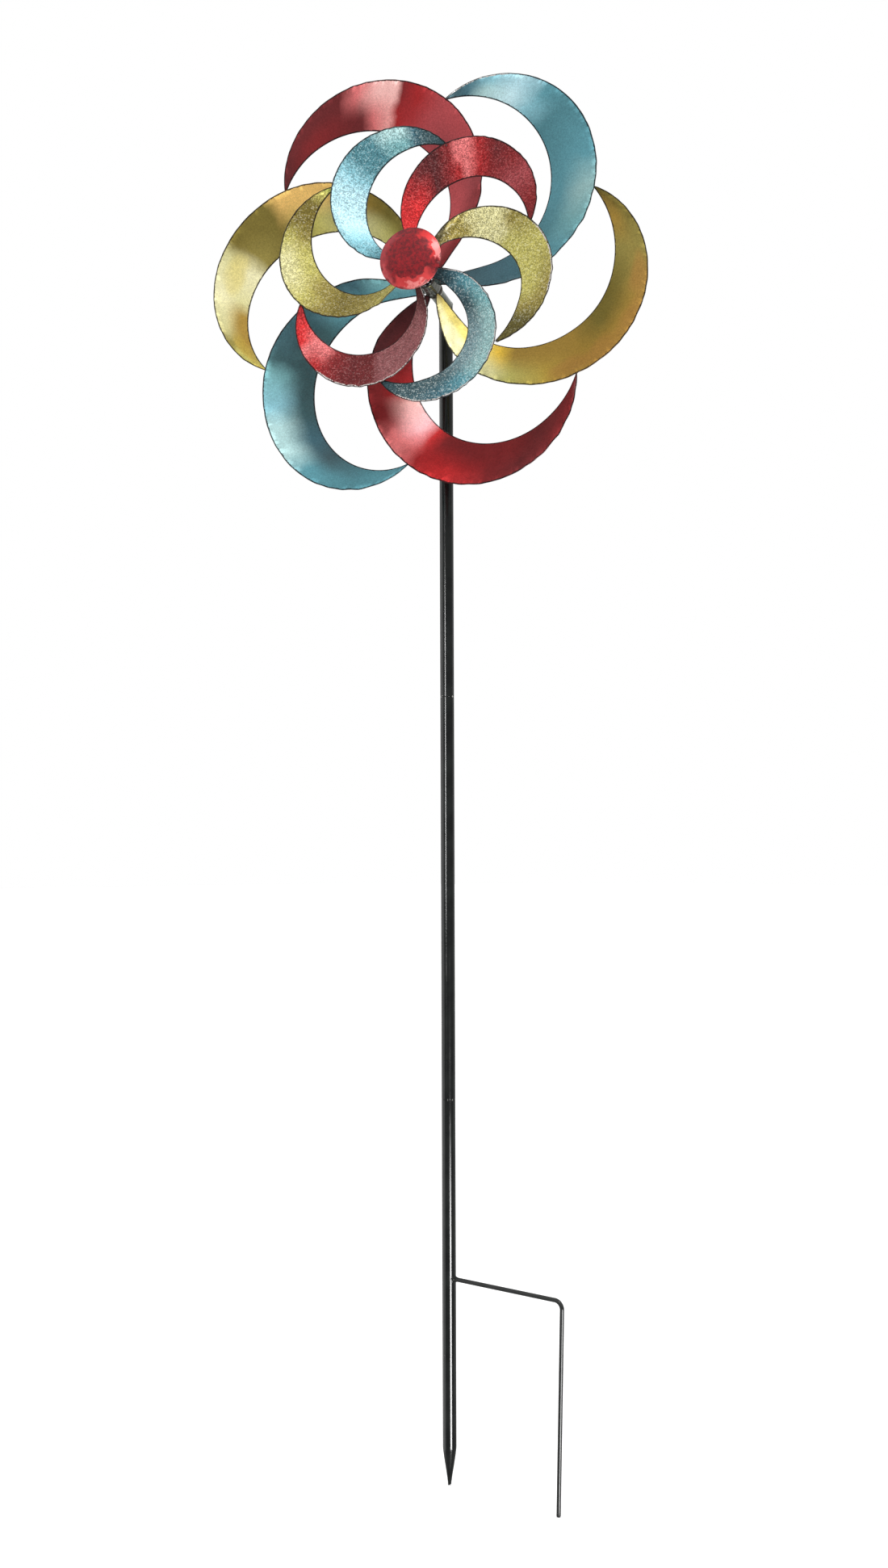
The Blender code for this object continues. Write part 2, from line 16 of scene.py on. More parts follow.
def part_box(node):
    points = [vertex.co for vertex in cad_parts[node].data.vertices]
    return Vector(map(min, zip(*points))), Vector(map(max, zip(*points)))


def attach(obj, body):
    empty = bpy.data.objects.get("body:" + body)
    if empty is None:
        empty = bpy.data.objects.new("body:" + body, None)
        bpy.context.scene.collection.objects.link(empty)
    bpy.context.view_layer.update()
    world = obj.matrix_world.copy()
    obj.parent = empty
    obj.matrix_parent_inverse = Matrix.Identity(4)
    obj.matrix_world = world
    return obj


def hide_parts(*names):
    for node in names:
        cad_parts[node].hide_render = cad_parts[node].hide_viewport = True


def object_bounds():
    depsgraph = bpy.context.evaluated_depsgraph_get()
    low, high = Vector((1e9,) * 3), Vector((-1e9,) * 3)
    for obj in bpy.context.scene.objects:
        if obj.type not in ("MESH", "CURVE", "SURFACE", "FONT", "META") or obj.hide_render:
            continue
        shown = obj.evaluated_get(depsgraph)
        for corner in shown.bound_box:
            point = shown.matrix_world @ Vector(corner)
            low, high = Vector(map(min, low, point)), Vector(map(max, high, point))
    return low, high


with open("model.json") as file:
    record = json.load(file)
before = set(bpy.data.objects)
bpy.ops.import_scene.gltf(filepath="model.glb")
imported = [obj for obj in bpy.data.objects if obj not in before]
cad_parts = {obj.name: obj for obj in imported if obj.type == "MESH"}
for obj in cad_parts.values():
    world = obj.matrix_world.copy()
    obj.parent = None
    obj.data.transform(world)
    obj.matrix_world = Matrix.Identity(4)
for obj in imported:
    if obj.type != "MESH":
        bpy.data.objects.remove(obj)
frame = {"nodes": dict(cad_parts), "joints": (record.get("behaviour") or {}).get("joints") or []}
CAD_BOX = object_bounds()

# ---- places read from the frame ----
SPIN = next(joint for joint in frame["joints"] if joint["name"] == "rear_rotor_spin")
SHAFT = Vector(SPIN["axis"]).normalized()
REAR_PIVOT = Vector(SPIN["pos_m"])
NECK = REAR_PIVOT - SHAFT * (REAR_PIVOT.y / SHAFT.y)
SIDEWAYS = Vector((1.0, 0.0, 0.0))
UPWARD = Vector((0.0, 0.0, 1.0))
SHAFT_UP = SHAFT.cross(SIDEWAYS)
HEAD = Matrix((SIDEWAYS, SHAFT_UP, SHAFT)).transposed().to_4x4()
HEAD.translation = NECK
STAKE = Matrix.Identity(4)
GAP = 0.0003
MIDDLE_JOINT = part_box("lower_pole")[1][2] + GAP
UPPER_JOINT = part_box("middle_pole")[1][2] + GAP


@dataclass
class Span:
    """What a round piece measures about its axis."""

    low: float
    high: float
    inner: float
    outer: float


def measure(node, axes):
    """Measure a node about the Z axis of a frame."""
    inverse = axes.inverted()
    points = [inverse @ vertex.co for vertex in frame["nodes"][node].data.vertices]
    radii = [math.hypot(point.x, point.y) for point in points]
    heights = [point.z for point in points]
    return Span(min(heights), max(heights), min(radii), max(radii))


# ---- crescents, as in the frame ----
SHEET = 0.001
REAR_PHASE = math.radians(-5.3)
FRONT_PHASE = math.radians(-15.4)
REAR_ROOT = 0.0895
FRONT_ROOT = 0.151
ROOT_BLEND = 0.86
ROOT_RADIUS = 0.0136
ROOT_ANGLES = (math.radians(6.0), math.radians(50.0))
TIP_OPENS_ABOVE = math.radians(60.0)
ROOT_OPENS_BELOW = math.radians(-40.0)
OUTER_RISE_SKEW = 0.60
INNER_DROP_SKEW = 1.67
BEND_REACH = 0.5
SWELL_SCALE = 6.75


@dataclass
class Edge:
    """One edge of a crescent: an arc from tip to root whose radius grows towards either end."""

    centre: tuple
    radius: float
    tip_angle: float
    root_angle: float
    tip_opening: float
    root_opening: float


@dataclass
class HandBend:
    """How far one blade's edges stand outward of the common crescent, as bent by hand.

    Near the root the blade may also be pinched narrower, by an angle round the hub.
    """

    tip_outer: float = 0.0
    tip_inner: float = 0.0
    middle_outer: float = 0.0
    root_outer: float = 0.0
    root_inner: float = 0.0
    root_pinch: float = 0.0


@dataclass
class Crescent:
    """A blade seen from the front with its root at the hub and its tip straight up."""

    outer: Edge
    inner: Edge
    tip_rise: float
    outer_rise: float
    inner_drop: float
    root_drop: float
    mirrored: bool


REAR_CRESCENT = Crescent(
    outer=Edge((0.0780, 0.1385), 0.1360, 127.0, -116.0, 0.0, 0.0075),
    inner=Edge((0.0330, 0.1360), 0.1160, 109.0, -97.0, 0.0, 0.0),
    tip_rise=0.0045, outer_rise=0.0090, inner_drop=0.0210, root_drop=0.0165, mirrored=False,
)
FRONT_CRESCENT = Crescent(
    outer=Edge((0.0546, 0.0844), 0.0855, 125.5, -116.0, 0.0061, 0.0034),
    inner=Edge((0.0182, 0.0797), 0.0745, 102.0, -97.0, 0.0050, 0.0),
    tip_rise=0.0035, outer_rise=0.0065, inner_drop=0.0126, root_drop=0.0, mirrored=True,
)


def mix(first, second, share):
    """Blend two values."""
    return first + (second - first) * share


def ease(share):
    """Run smoothly from 0 to 1, held at either end."""
    share = min(1.0, max(0.0, share))
    return share * share * (3.0 - 2.0 * share)


def around(angle, radius=1.0):
    """The place at an angle on a circle round the origin."""
    return radius * Vector((math.cos(angle), math.sin(angle)))


def swell(distance):
    """A bulge that rises at once from a blade's end and dies away smoothly, 1 at its highest."""
    share = min(1.0, distance / BEND_REACH)
    return SWELL_SCALE * share * (1.0 - share) ** 2


def edge_point(edge, along, outward):
    """A point of one edge, along 0 at the tip to 1 at the root, moved outward by a distance."""
    angle = math.radians(mix(edge.tip_angle, edge.root_angle, along))
    radius = edge.radius + edge.tip_opening * max(0.0, angle - TIP_OPENS_ABOVE) + outward
    radius += edge.root_opening * max(0.0, ROOT_OPENS_BELOW - angle)
    return Vector(edge.centre) + around(angle, radius)


def crescent_point(shape, bend, along, across):
    """A point of the crescent, across 0 at its outer edge to 1 at its inner edge."""
    tip_swell = swell(along)
    root_swell = swell(1.0 - along)
    belly = math.sin(math.pi * along) ** 2
    bow = bend.tip_outer * tip_swell + bend.middle_outer * belly + bend.root_outer * root_swell
    hollow = bend.tip_inner * tip_swell + bend.root_inner * root_swell
    outer = edge_point(shape.outer, along, bow)
    inner = edge_point(shape.inner, along, hollow)
    place = mix(outer, inner, across)
    root_low, root_high = ROOT_ANGLES
    root = around(mix(root_low, root_high - bend.root_pinch, across), ROOT_RADIUS)
    near_root = ease((along - ROOT_BLEND) / (1.0 - ROOT_BLEND))
    place = mix(place, root, near_root)
    rise = shape.tip_rise * (1.0 - along) ** 2 - shape.root_drop * near_root
    outer_rise = shape.outer_rise * math.sin(math.pi * along**OUTER_RISE_SKEW)
    inner_rise = -shape.inner_drop * math.sin(math.pi * along**INNER_DROP_SKEW)
    side = -1.0 if shape.mirrored else 1.0
    return Vector((side * place.x, place.y, rise + mix(outer_rise, inner_rise, across)))


# ---- camera ----
CAMERA_AZIMUTH = math.radians(15.5)
CAMERA_DISTANCE = 2.3333
CAMERA_HEIGHT = 0.679
CAMERA_PAN = math.radians(0.117)
CAMERA_ROLL = math.radians(0.195)
CAMERA_LENS = 38.93


def add_object(name, data):
    """Put an object with a mesh, light or camera of its own into the scene."""
    made = bpy.data.objects.new(name, data)
    bpy.context.scene.collection.objects.link(made)
    return made


def add_camera():
    """Stand the camera in front, a little to the right, level with the middle of the stake."""
    data = bpy.data.cameras.new("camera")
    data.lens = CAMERA_LENS
    data.sensor_width = 36.0
    camera = add_object("camera", data)
    camera.location = (
        CAMERA_DISTANCE * math.sin(CAMERA_AZIMUTH),
        -CAMERA_DISTANCE * math.cos(CAMERA_AZIMUTH),
        CAMERA_HEIGHT,
    )
    camera.rotation_euler = (math.pi / 2, CAMERA_ROLL, CAMERA_AZIMUTH + CAMERA_PAN)
    bpy.context.scene.camera = camera


# ---- shader helpers ----
def shade(red, green, blue):
    """Turn a colour as it looks on a screen, 0 to 255, into the linear values that a shader takes."""
    parts = [value / 255.0 for value in (red, green, blue)]
    linear = [p / 12.92 if p <= 0.04045 else ((p + 0.055) / 1.055) ** 2.4 for p in parts]
    return (*linear, 1.0)


class Nodes:
    """A node tree in the making, with short ways to add its nodes."""

    def __init__(self, tree):
        self.tree = tree

    def node(self, kind, inputs=(), **settings):
        """Add a node, set its properties, and feed its inputs with values or other outputs."""
        made = self.tree.nodes.new(kind)
        for key, value in settings.items():
            setattr(made, key, value)
        for key, value in dict(inputs).items():
            self.feed(made.inputs[key], value)
        return made

    def feed(self, socket, value):
        """Give a socket a value, or a link if the value is an output."""
        if isinstance(value, bpy.types.NodeSocket):
            self.tree.links.new(value, socket)
        else:
            socket.default_value = value

    def place(self, kind="Object"):
        """The piece's own coordinates, in metres, or another kind."""
        return self.node("ShaderNodeTexCoord").outputs[kind]

    def split(self, vector):
        """The X, Y and Z of a vector."""
        return self.node("ShaderNodeSeparateXYZ", {"Vector": vector}).outputs

    def painted(self, name):
        """The two numbers that the mesh carries under a name."""
        return self.node("ShaderNodeUVMap", uv_map=name).outputs["UV"]

    def noise(self, scale, detail=2.0, roughness=0.5, vector=None):
        """Smooth noise from 0 to 1."""
        vector = vector or self.place()
        inputs = {"Vector": vector, "Scale": scale, "Detail": detail, "Roughness": roughness}
        return self.node("ShaderNodeTexNoise", inputs).outputs["Fac"]

    def sum(self, first, second, operation="ADD"):
        """Work out one number from two."""
        return self.node("ShaderNodeMath", {0: first, 1: second}, operation=operation).outputs[0]

    def times(self, first, second):
        """Multiply two numbers."""
        return self.sum(first, second, "MULTIPLY")

    def less(self, first, second):
        """Take the second number from the first."""
        return self.sum(first, second, "SUBTRACT")

    def fit(self, value, low, high, to_low=0.0, to_high=1.0):
        """Run smoothly from one range to another."""
        inputs = {"Value": value, "From Min": low, "From Max": high, "To Min": to_low, "To Max": to_high}
        return self.node("ShaderNodeMapRange", inputs, interpolation_type="SMOOTHSTEP").outputs["Result"]

    def between(self, value, rise, top, fall, end):
        """1 between two places and 0 outside them, with a smooth step at each."""
        return self.less(self.fit(value, rise, top), self.fit(value, fall, end))

    def cloud(self, scale, low=0.0, high=1.0, detail=2.0, roughness=0.5):
        """Noise that wanders the whole way between two values."""
        return self.fit(self.noise(scale, detail, roughness), 0.3, 0.7, low, high)

    def blend(self, share, first, second, blend_type="MIX"):
        """Mix two colours."""
        made = self.node("ShaderNodeMix", data_type="RGBA", blend_type=blend_type)
        sockets = [socket for socket in made.inputs if socket.type == "RGBA"]
        self.feed(made.inputs["Factor"], share)
        self.feed(sockets[0], first)
        self.feed(sockets[1], second)
        return next(socket for socket in made.outputs if socket.type == "RGBA")

    def brighten(self, colour, amount):
        """Multiply a colour by a number."""
        grey = self.node("ShaderNodeCombineColor", {"Red": amount, "Green": amount, "Blue": amount})
        return self.blend(1.0, colour, grey.outputs[0], "MULTIPLY")

    def ramp(self, value, stops):
        """Run through colours at stops from 0 to 1."""
        made = self.node("ShaderNodeValToRGB", {"Fac": value})
        elements = made.color_ramp.elements
        elements[0].position, elements[0].color = stops[0]
        elements[1].position, elements[1].color = stops[-1]
        for position, colour in stops[1:-1]:
            elements.new(position).color = colour
        return made.outputs["Color"]


class Finish(Nodes):
    """A material in the making."""

    def __init__(self, name):
        self.material = bpy.data.materials.new(name)
        self.material.use_nodes = True
        super().__init__(self.material.node_tree)
        self.shader = self.tree.nodes["Principled BSDF"]

    def bump(self, height, strength, distance):
        """Raise the surface by a height."""
        made = self.node("ShaderNodeBump", {"Height": height, "Strength": strength, "Distance": distance})
        self.feed(self.shader.inputs["Normal"], made.outputs["Normal"])

    def finish(self, colour, roughness, metallic=0.0, gloss=0.5):
        """Set the shader's sockets, and give the material."""
        self.feed(self.shader.inputs["Base Color"], colour)
        self.feed(self.shader.inputs["Roughness"], roughness)
        self.feed(self.shader.inputs["Metallic"], metallic)
        self.feed(self.shader.inputs["Specular IOR Level"], gloss)
        return self.material


# ---- mesh helpers ----
def lump(x, y, z):
    """Smooth noise at a place, on either side of 0."""
    return noise.noise(Vector((x, y, z)))


def shares(count):
    """Run from 0 to 1 in equal steps."""
    return [step / count for step in range(count + 1)]


def add_piece(mesh, body, slot, material, *nodes):
    """Make a piece that has its mesh's name, rides on a body and stands for the given nodes."""
    mesh.materials.append(material)
    piece = add_object(mesh.name, mesh)
    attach(piece, body)
    if nodes:
        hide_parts(*nodes)


def finished_mesh(name, shape, axes, sharp=40.0):
    """Close a bmesh into a smooth-shaded mesh placed by a frame."""
    bmesh.ops.remove_doubles(shape, verts=shape.verts, dist=1e-7)
    bmesh.ops.recalc_face_normals(shape, faces=shape.faces)
    mesh = bpy.data.meshes.new(name)
    shape.to_mesh(mesh)
    shape.free()
    mesh.transform(axes)
    mesh.shade_smooth()
    mesh.set_sharp_from_angle(angle=math.radians(sharp))
    return mesh


def stand_in(node, shape, axes, body, slot, material, sharp=40.0):
    """Make the fine piece that stands for a node."""
    add_piece(finished_mesh(node + "_fine", shape, axes, sharp), body, slot, material, node)


def soften(profile, radius, steps=3):
    """Round the corners of a closed profile of (radius, height), with a point on each straight side
    close to the corner, so that the long walls shade as true cylinders."""
    points = [Vector(point) for point in profile]
    rounded = []
    for index, corner in enumerate(points):
        before = points[index - 1] - corner
        after = points[(index + 1) % len(points)] - corner
        start = corner + before.normalized() * min(radius, 0.45 * before.length)
        end = corner + after.normalized() * min(radius, 0.45 * after.length)
        rounded.append(corner + before.normalized() * min(2.0 * radius, 0.48 * before.length))
        for share in shares(steps):
            rounded.append(mix(mix(start, corner, share), mix(corner, end, share), share))
        rounded.append(corner + after.normalized() * min(2.0 * radius, 0.48 * after.length))
    return rounded


def bridge(shape, rings, closed=False, capped=False):
    """Join rings of vertices one after another, round to the first if closed, with ends if capped."""
    pairs = list(zip(rings, rings[1:]))
    if closed:
        pairs.append((rings[-1], rings[0]))
    for first, second in pairs:
        for spot in range(len(first)):
            after = (spot + 1) % len(first)
            shape.faces.new((first[spot], first[after], second[after], second[spot]))
    if capped:
        shape.faces.new(rings[0])
        shape.faces.new(rings[-1])


def lathe(profile, sides=96, closed=True, shape_ring=None):
    """Turn a profile of (radius, height) about Z. shape_ring may move each point of a ring."""
    shape = bmesh.new()
    rings = []
    for radius, height in profile:
        ring = []
        for side in range(sides):
            angle = math.tau * side / sides
            point = Vector((radius * math.cos(angle), radius * math.sin(angle), height))
            if shape_ring:
                shape_ring(point, angle)
            ring.append(shape.verts.new(point))
        rings.append(ring)
    bridge(shape, rings, closed)
    return shape


def squeeze(point, share):
    """Draw a point towards the Z axis."""
    point.x *= share
    point.y *= share


def sweep(points, radii, sides=16, shape=None):
    """Run a round section along points, with closed ends, in a new bmesh or one that is given."""
    shape = shape or bmesh.new()
    rings = []
    up = UPWARD
    for index, (point, radius) in enumerate(zip(points, radii)):
        ahead = points[min(index + 1, len(points) - 1)]
        behind = points[max(index - 1, 0)]
        direction = (ahead - behind).normalized()
        across = direction.cross(up)
        if across.length < 0.2:
            across = direction.cross(SIDEWAYS)
        across.normalize()
        up = across.cross(direction)
        ring = []
        for side in range(sides):
            angle = math.tau * side / sides
            offset = across * math.cos(angle) + up * math.sin(angle)
            ring.append(shape.verts.new(point + offset * radius))
        rings.append(ring)
    bridge(shape, rings, capped=True)
    return shape


# ---- blade paint ----
PALETTE = {
    "soot": (56, 24, 27), "maroon": (82, 34, 36), "wine": (108, 40, 42), "ruby": (132, 40, 42),
    "crimson": (172, 42, 44), "scarlet": (208, 48, 50), "coral": (184, 78, 82), "brick": (160, 72, 76),
    "rosewood": (142, 86, 88), "rose": (220, 118, 118), "pink": (242, 164, 160),
    "petal": (255, 196, 190), "blush": (254, 192, 196), "ink": (42, 64, 70), "slate": (70, 94, 100),
    "petrol": (70, 108, 120), "pine": (62, 94, 98), "teal": (82, 134, 144), "lagoon": (95, 154, 166),
    "aqua": (120, 174, 178), "mint": (148, 186, 186), "steel": (120, 148, 154), "sky": (138, 192, 204),
    "mist": (176, 212, 212), "ice": (186, 226, 236), "frost": (200, 234, 241), "umber": (60, 54, 30),
    "moss": (96, 88, 44), "olive": (124, 110, 50), "khaki": (150, 136, 70), "brass": (164, 132, 58),
    "ochre": (184, 156, 66), "rust": (170, 124, 62), "amber": (228, 188, 66), "peach": (234, 190, 110),
    "straw": (190, 182, 100), "hay": (214, 208, 152), "cream": (236, 230, 184),
    "butter": (218, 200, 112), "leaf": (136, 156, 70),
}


@dataclass
class Patch:
    """A round patch of colour at a place on a blade: sprayed colour, and in the cream patch a painted
    highlight.
    """

    along: float
    across: float
    colour: str


@dataclass
class Dent:
    """A round dent at a place on a blade, outward where its height is above 0."""

    along: float
    across: float
    radius: float
    height: float


@dataclass
class Look:
    """One blade: its hand bend, the colours sprayed along its two edges with painted highlight bands and
    painted shade among them, as names with how far each stands from tip to root in hundredths, patches,
    dents, stretches of worn edge that also carry a painted rim highlight, and how strongly its brightest
    flakes are painted white as glints."""

    bend: HandBend
    outer: str
    inner: str
    patches: tuple = ()
    dents: tuple = ()
    worn_lit_stretches: tuple = ()
    glint_share: float = 0.0


# Besides sprayed two-tone colour, these ramps paint light in: the palest stretches are painted highlights
# and the darkest stretches are painted shade.
REAR_LOOKS = {
    "rear_blade_teal_1": Look(
        HandBend(tip_outer=0.0035, root_outer=0.0020),
        outer="slate 0, petrol 7, sky 13, ice 20, lagoon 26.5, teal 34, lagoon 46, mint 54, aqua 62, "
        "lagoon 70, petrol 80, slate 100",
        inner="slate 0, petrol 8, mist 13, frost 21, sky 27, teal 34, lagoon 54, teal 68, petrol 82, "
        "slate 100",
        dents=(Dent(0.10, 0.10, 0.009, 0.0012), Dent(0.14, 0.12, 0.006, -0.0014)),
        worn_lit_stretches=((0.02, 0.16),),
    ),
    "rear_blade_red_1": Look(
        HandBend(tip_outer=0.0040, root_outer=0.0030),
        outer="maroon 0, wine 10, wine 27, rose 32, petal 38, petal 42.5, ruby 44.5, crimson 48, coral 55, "
        "coral 64, brick 75, ruby 88, wine 100",
        inner="maroon 0, ruby 19, wine 34, rose 37.5, pink 42, crimson 44.5, coral 55, brick 62, coral 74, "
        "coral 86, ruby 100",
        dents=(Dent(0.31, 0.10, 0.008, 0.0014),),
    ),
    "rear_blade_gold_1": Look(
        HandBend(tip_outer=0.0085, tip_inner=0.0020),
        outer="ochre 0, straw 6, khaki 12, hay 18, cream 25, hay 33, olive 38, olive 48, peach 53, "
        "peach 64, brass 72, olive 82, khaki 100",
        inner="straw 0, brass 12, brass 20, hay 25, cream 34, khaki 39, olive 50, straw 60, hay 75, "
        "straw 86, khaki 100",
        patches=(Patch(0.10, 0.55, "ochre"), Patch(0.31, 0.45, "butter")),
        dents=(Dent(0.36, 0.08, 0.009, -0.0014), Dent(0.50, 0.06, 0.007, 0.0012)),
    ),
    "rear_blade_teal_2": Look(
        HandBend(tip_outer=0.0125, tip_inner=0.0055),
        outer="lagoon 0, teal 16, lagoon 26, mist 32, mist 40, sky 45.5, aqua 53, pine 57, petrol 72, "
        "petrol 84, aqua 90, petrol 100",
        inner="lagoon 0, teal 14, slate 26, petrol 34, pine 42, pine 68, teal 76, lagoon 90, petrol 100",
        dents=(Dent(0.33, 0.05, 0.010, 0.0016), Dent(0.47, 0.08, 0.008, -0.0016),
               Dent(0.53, 0.08, 0.008, 0.0016), Dent(0.23, 0.05, 0.009, -0.0012)),
    ),
    "rear_blade_red_2": Look(
        HandBend(tip_outer=0.0015, tip_inner=-0.0010, root_outer=0.0105, root_pinch=math.radians(22.0)),
        outer="rosewood 0, ruby 8, wine 26, ruby 35, scarlet 46, crimson 53, rose 57.5, rose 61.5, "
        "ruby 67, ruby 74, maroon 84, soot 100",
        inner="ruby 0, wine 20, ruby 30, ruby 50, scarlet 54.5, blush 60, petal 68, crimson 73, ruby 80, "
        "maroon 90, soot 100",
        dents=(Dent(0.64, 0.12, 0.008, 0.0017), Dent(0.58, 0.06, 0.009, -0.0014),
               Dent(0.45, 0.05, 0.007, 0.0012)),
    ),
    "rear_blade_gold_2": Look(
        HandBend(
            tip_outer=0.0010, tip_inner=-0.0035, root_outer=0.0080, root_inner=0.0070,
            root_pinch=math.radians(34.0),
        ),
        outer="moss 0, olive 9, khaki 20, brass 34, brass 54, ochre 62, straw 71, hay 76, hay 90, brass 100",
        inner="moss 0, brass 12, khaki 22, olive 33, olive 44, brass 52, brass 70, amber 74, butter 80, "
        "butter 92, brass 100",
        # The cream patch at the root is a painted highlight; the rust patches are sprayed colour.
        patches=(Patch(0.27, 0.20, "rust"), Patch(0.47, 0.15, "rust"), Patch(0.37, 0.05, "rust"),
                 Patch(0.56, 0.20, "rust"), Patch(0.87, 0.35, "cream")),
    ),
}
# Besides sprayed colour, these ramps paint light in: the palest stretches are painted highlights and the
# darkest stretches are painted shade.
FRONT_LOOKS = {
    "front_blade_teal_1": Look(
        HandBend(),
        outer="ink 0, slate 9, petrol 15, mist 19, mist 26, teal 32, teal 40, sky 46, ice 53, ice 68, "
        "sky 76, lagoon 88, petrol 100",
        inner="ink 0, slate 9, petrol 15, aqua 20, aqua 26, teal 32, teal 40, sky 46, ice 53, ice 68, "
        "sky 76, lagoon 88, petrol 100",
        glint_share=0.26,
    ),
    "front_blade_gold_1": Look(
        HandBend(),
        outer="leaf 0, straw 4, olive 10, olive 20, straw 27, hay 33, hay 42, straw 52, khaki 59, "
        "olive 68, khaki 78, straw 90, khaki 100",
        inner="leaf 0, straw 4, olive 10, olive 20, khaki 27, straw 34, straw 43, khaki 52, olive 68, "
        "khaki 78, straw 90, khaki 100",
        glint_share=0.22,
    ),
    "front_blade_red_1": Look(
        HandBend(tip_outer=0.0005),
        outer="ruby 0, scarlet 10, scarlet 15, rose 19, crimson 26, ruby 33, wine 40, wine 50, "
        "rosewood 54, rosewood 80, maroon 88, soot 100",
        inner="ruby 0, scarlet 10, rose 19, rose 27, ruby 32, wine 40, wine 50, rosewood 54, rosewood 80, "
        "maroon 88, soot 100",
        worn_lit_stretches=((0.28, 0.96),),
        glint_share=0.09,
    ),
    "front_blade_teal_2": Look(
        HandBend(
            tip_outer=0.0035, tip_inner=-0.0005, middle_outer=-0.0045, root_outer=-0.0010,
            root_inner=-0.0050,
        ),
        outer="ink 0, slate 12, petrol 24, lagoon 34, mint 42, mint 64, aqua 72, lagoon 82, petrol 87, "
        "ink 90, ink 100",
        inner="ink 0, slate 20, slate 30, steel 40, steel 56, slate 68, petrol 82, ink 88, ink 100",
        worn_lit_stretches=((0.08, 0.36), (0.46, 0.60), (0.72, 0.90)),
        glint_share=0.42,
    ),
    "front_blade_gold_2": Look(
        HandBend(tip_inner=-0.0035, root_outer=0.0035, root_inner=0.0040),
        outer="moss 0, moss 12, khaki 20, khaki 28, straw 46, khaki 60, hay 66, hay 75, khaki 80, "
        "umber 88, moss 100",
        inner="moss 0, moss 12, khaki 20, straw 28, straw 56, hay 61, hay 70, khaki 76, olive 84, "
        "umber 90, moss 100",
        worn_lit_stretches=((0.24, 0.52),),
        glint_share=0.26,
    ),
    "front_blade_red_2": Look(
        HandBend(tip_outer=0.0045),
        outer="wine 0, ruby 10, brick 19, ruby 26, wine 34, crimson 42, rose 46.5, rose 50, ruby 53, "
        "maroon 60, wine 68, crimson 76, scarlet 84, crimson 92, wine 100",
        inner="wine 0, ruby 10, brick 22, ruby 34, crimson 40, rose 46, crimson 50, ruby 55, maroon 62, "
        "crimson 69, scarlet 76, scarlet 84, crimson 92, wine 100",
        glint_share=0.05,
    ),
}

OUTLINE_WIDTH = 0.0015
OUTLINE = shade(26, 20, 22)
# Pale edge flecks: worn bare steel, and a painted highlight of the lit rim.
BARE_AND_LIT_EDGE = shade(204, 198, 194)
# White painted onto the brightest glitter flakes as glints.
PAINTED_GLINT = shade(222, 226, 220)
SPRAY_WANDER = 0.022
PATCH_ALONG = 11.0
PATCH_ACROSS = 2.2
FLAKE_SCALE = 720.0
FLAKE_HEIGHT = 0.0003
GRAIN_SCALE = 1100.0
GRAIN_HEIGHT = 0.0002
PAINT_GLOSS = 0.25


def stops(text):
    """Read sprayed colours, with painted highlights and painted shade among them, written as names with
    their places in hundredths.
    """
    pairs = [stop.split() for stop in text.split(",")]
    return [(float(place) / 100.0, shade(*PALETTE[name])) for name, place in pairs]


def spray_and_painted_light(finish, along, across, look):
    """The sprayed colours of a blade, with painted highlight bands and painted shade in them: a ramp along
    each edge, blended between them, and patches.
    """
    outer = finish.ramp(along, stops(look.outer))
    inner = finish.ramp(along, stops(look.inner))
    colour = finish.blend(finish.fit(across, 0.2, 0.8), outer, inner)
    for patch in look.patches:
        reach = finish.times(finish.less(along, patch.along), PATCH_ALONG)
        aside = finish.times(finish.less(across, patch.across), PATCH_ACROSS)
        squares = finish.sum(finish.sum(reach, 2.0, "POWER"), finish.sum(aside, 2.0, "POWER"))
        share = finish.fit(squares, 0.0, 0.6, 0.62, 0.0)
        colour = finish.blend(share, colour, shade(*PALETTE[patch.colour]))
    return colour


def worn_and_lit_edge(finish, along, from_outer, colour, stretches):
    """Pale flecks along stretches of the outer edge: bare steel, and a painted highlight where the rim
    catches the light.
    """
    flecks = finish.fit(finish.noise(430.0), 0.40, 0.50)
    width = OUTLINE_WIDTH
    beside = finish.between(from_outer, 0.2 * width, 0.5 * width, 1.1 * width, 1.8 * width)
    flecks = finish.times(flecks, beside)
    for low, high in stretches:
        inside = finish.between(along, low - 0.02, low + 0.02, high - 0.02, high + 0.02)
        colour = finish.blend(finish.times(flecks, inside), colour, BARE_AND_LIT_EDGE)
    return colour


def glitter_coat(finish, along, colour, glint_share):
    """Coarse flakes, each its own brightness, the brightest painted white as glints except near the blade's
    ends.
    """
    flakes = finish.node("ShaderNodeTexVoronoi", {"Vector": finish.place(), "Scale": FLAKE_SCALE})
    flake = finish.node("ShaderNodeSeparateColor", {"Color": flakes.outputs["Color"]}).outputs[0]
    colour = finish.brighten(colour, finish.fit(flake, 0.0, 1.0, 0.66, 1.32))
    middle = finish.between(along, 0.02, 0.12, 0.84, 0.92)
    # Painted glints: the brightest flakes are turned white.
    white = finish.times(finish.fit(flake, 0.74, 0.98, 0.0, glint_share), middle)
    finish.bump(flake, 0.5, FLAKE_HEIGHT)
    return finish.blend(white, colour, PAINTED_GLINT), finish.fit(flake, 0.0, 1.0, 0.30, 0.52)


def satin_coat(finish, along, from_outer, colour, beat):
    """A fine grain, and pale strokes along the outer edge where the hammer fell, brightened as painted
    highlights of the light the hammered creases catch.
    """
    grain = finish.noise(GRAIN_SCALE)
    colour = finish.brighten(colour, finish.fit(grain, 0.25, 0.75, 0.88, 1.12))
    finish.bump(grain, 0.15, GRAIN_HEIGHT)
    rhythm = finish.node("ShaderNodeCombineXYZ", {"X": finish.times(along, 62.0), "Y": beat})
    strokes = finish.fit(finish.noise(1.0, vector=rhythm.outputs["Vector"]), 0.48, 0.60)
    # Painted highlight: the strokes brighten the colour near the outer edge.
    painted_dent_highlight = finish.times(strokes, finish.fit(from_outer, 0.001, 0.011, 1.0, 0.0))
    return finish.brighten(colour, finish.fit(painted_dent_highlight, 0.0, 1.0, 1.0, 1.45)), finish.cloud(60.0, 0.33, 0.44)


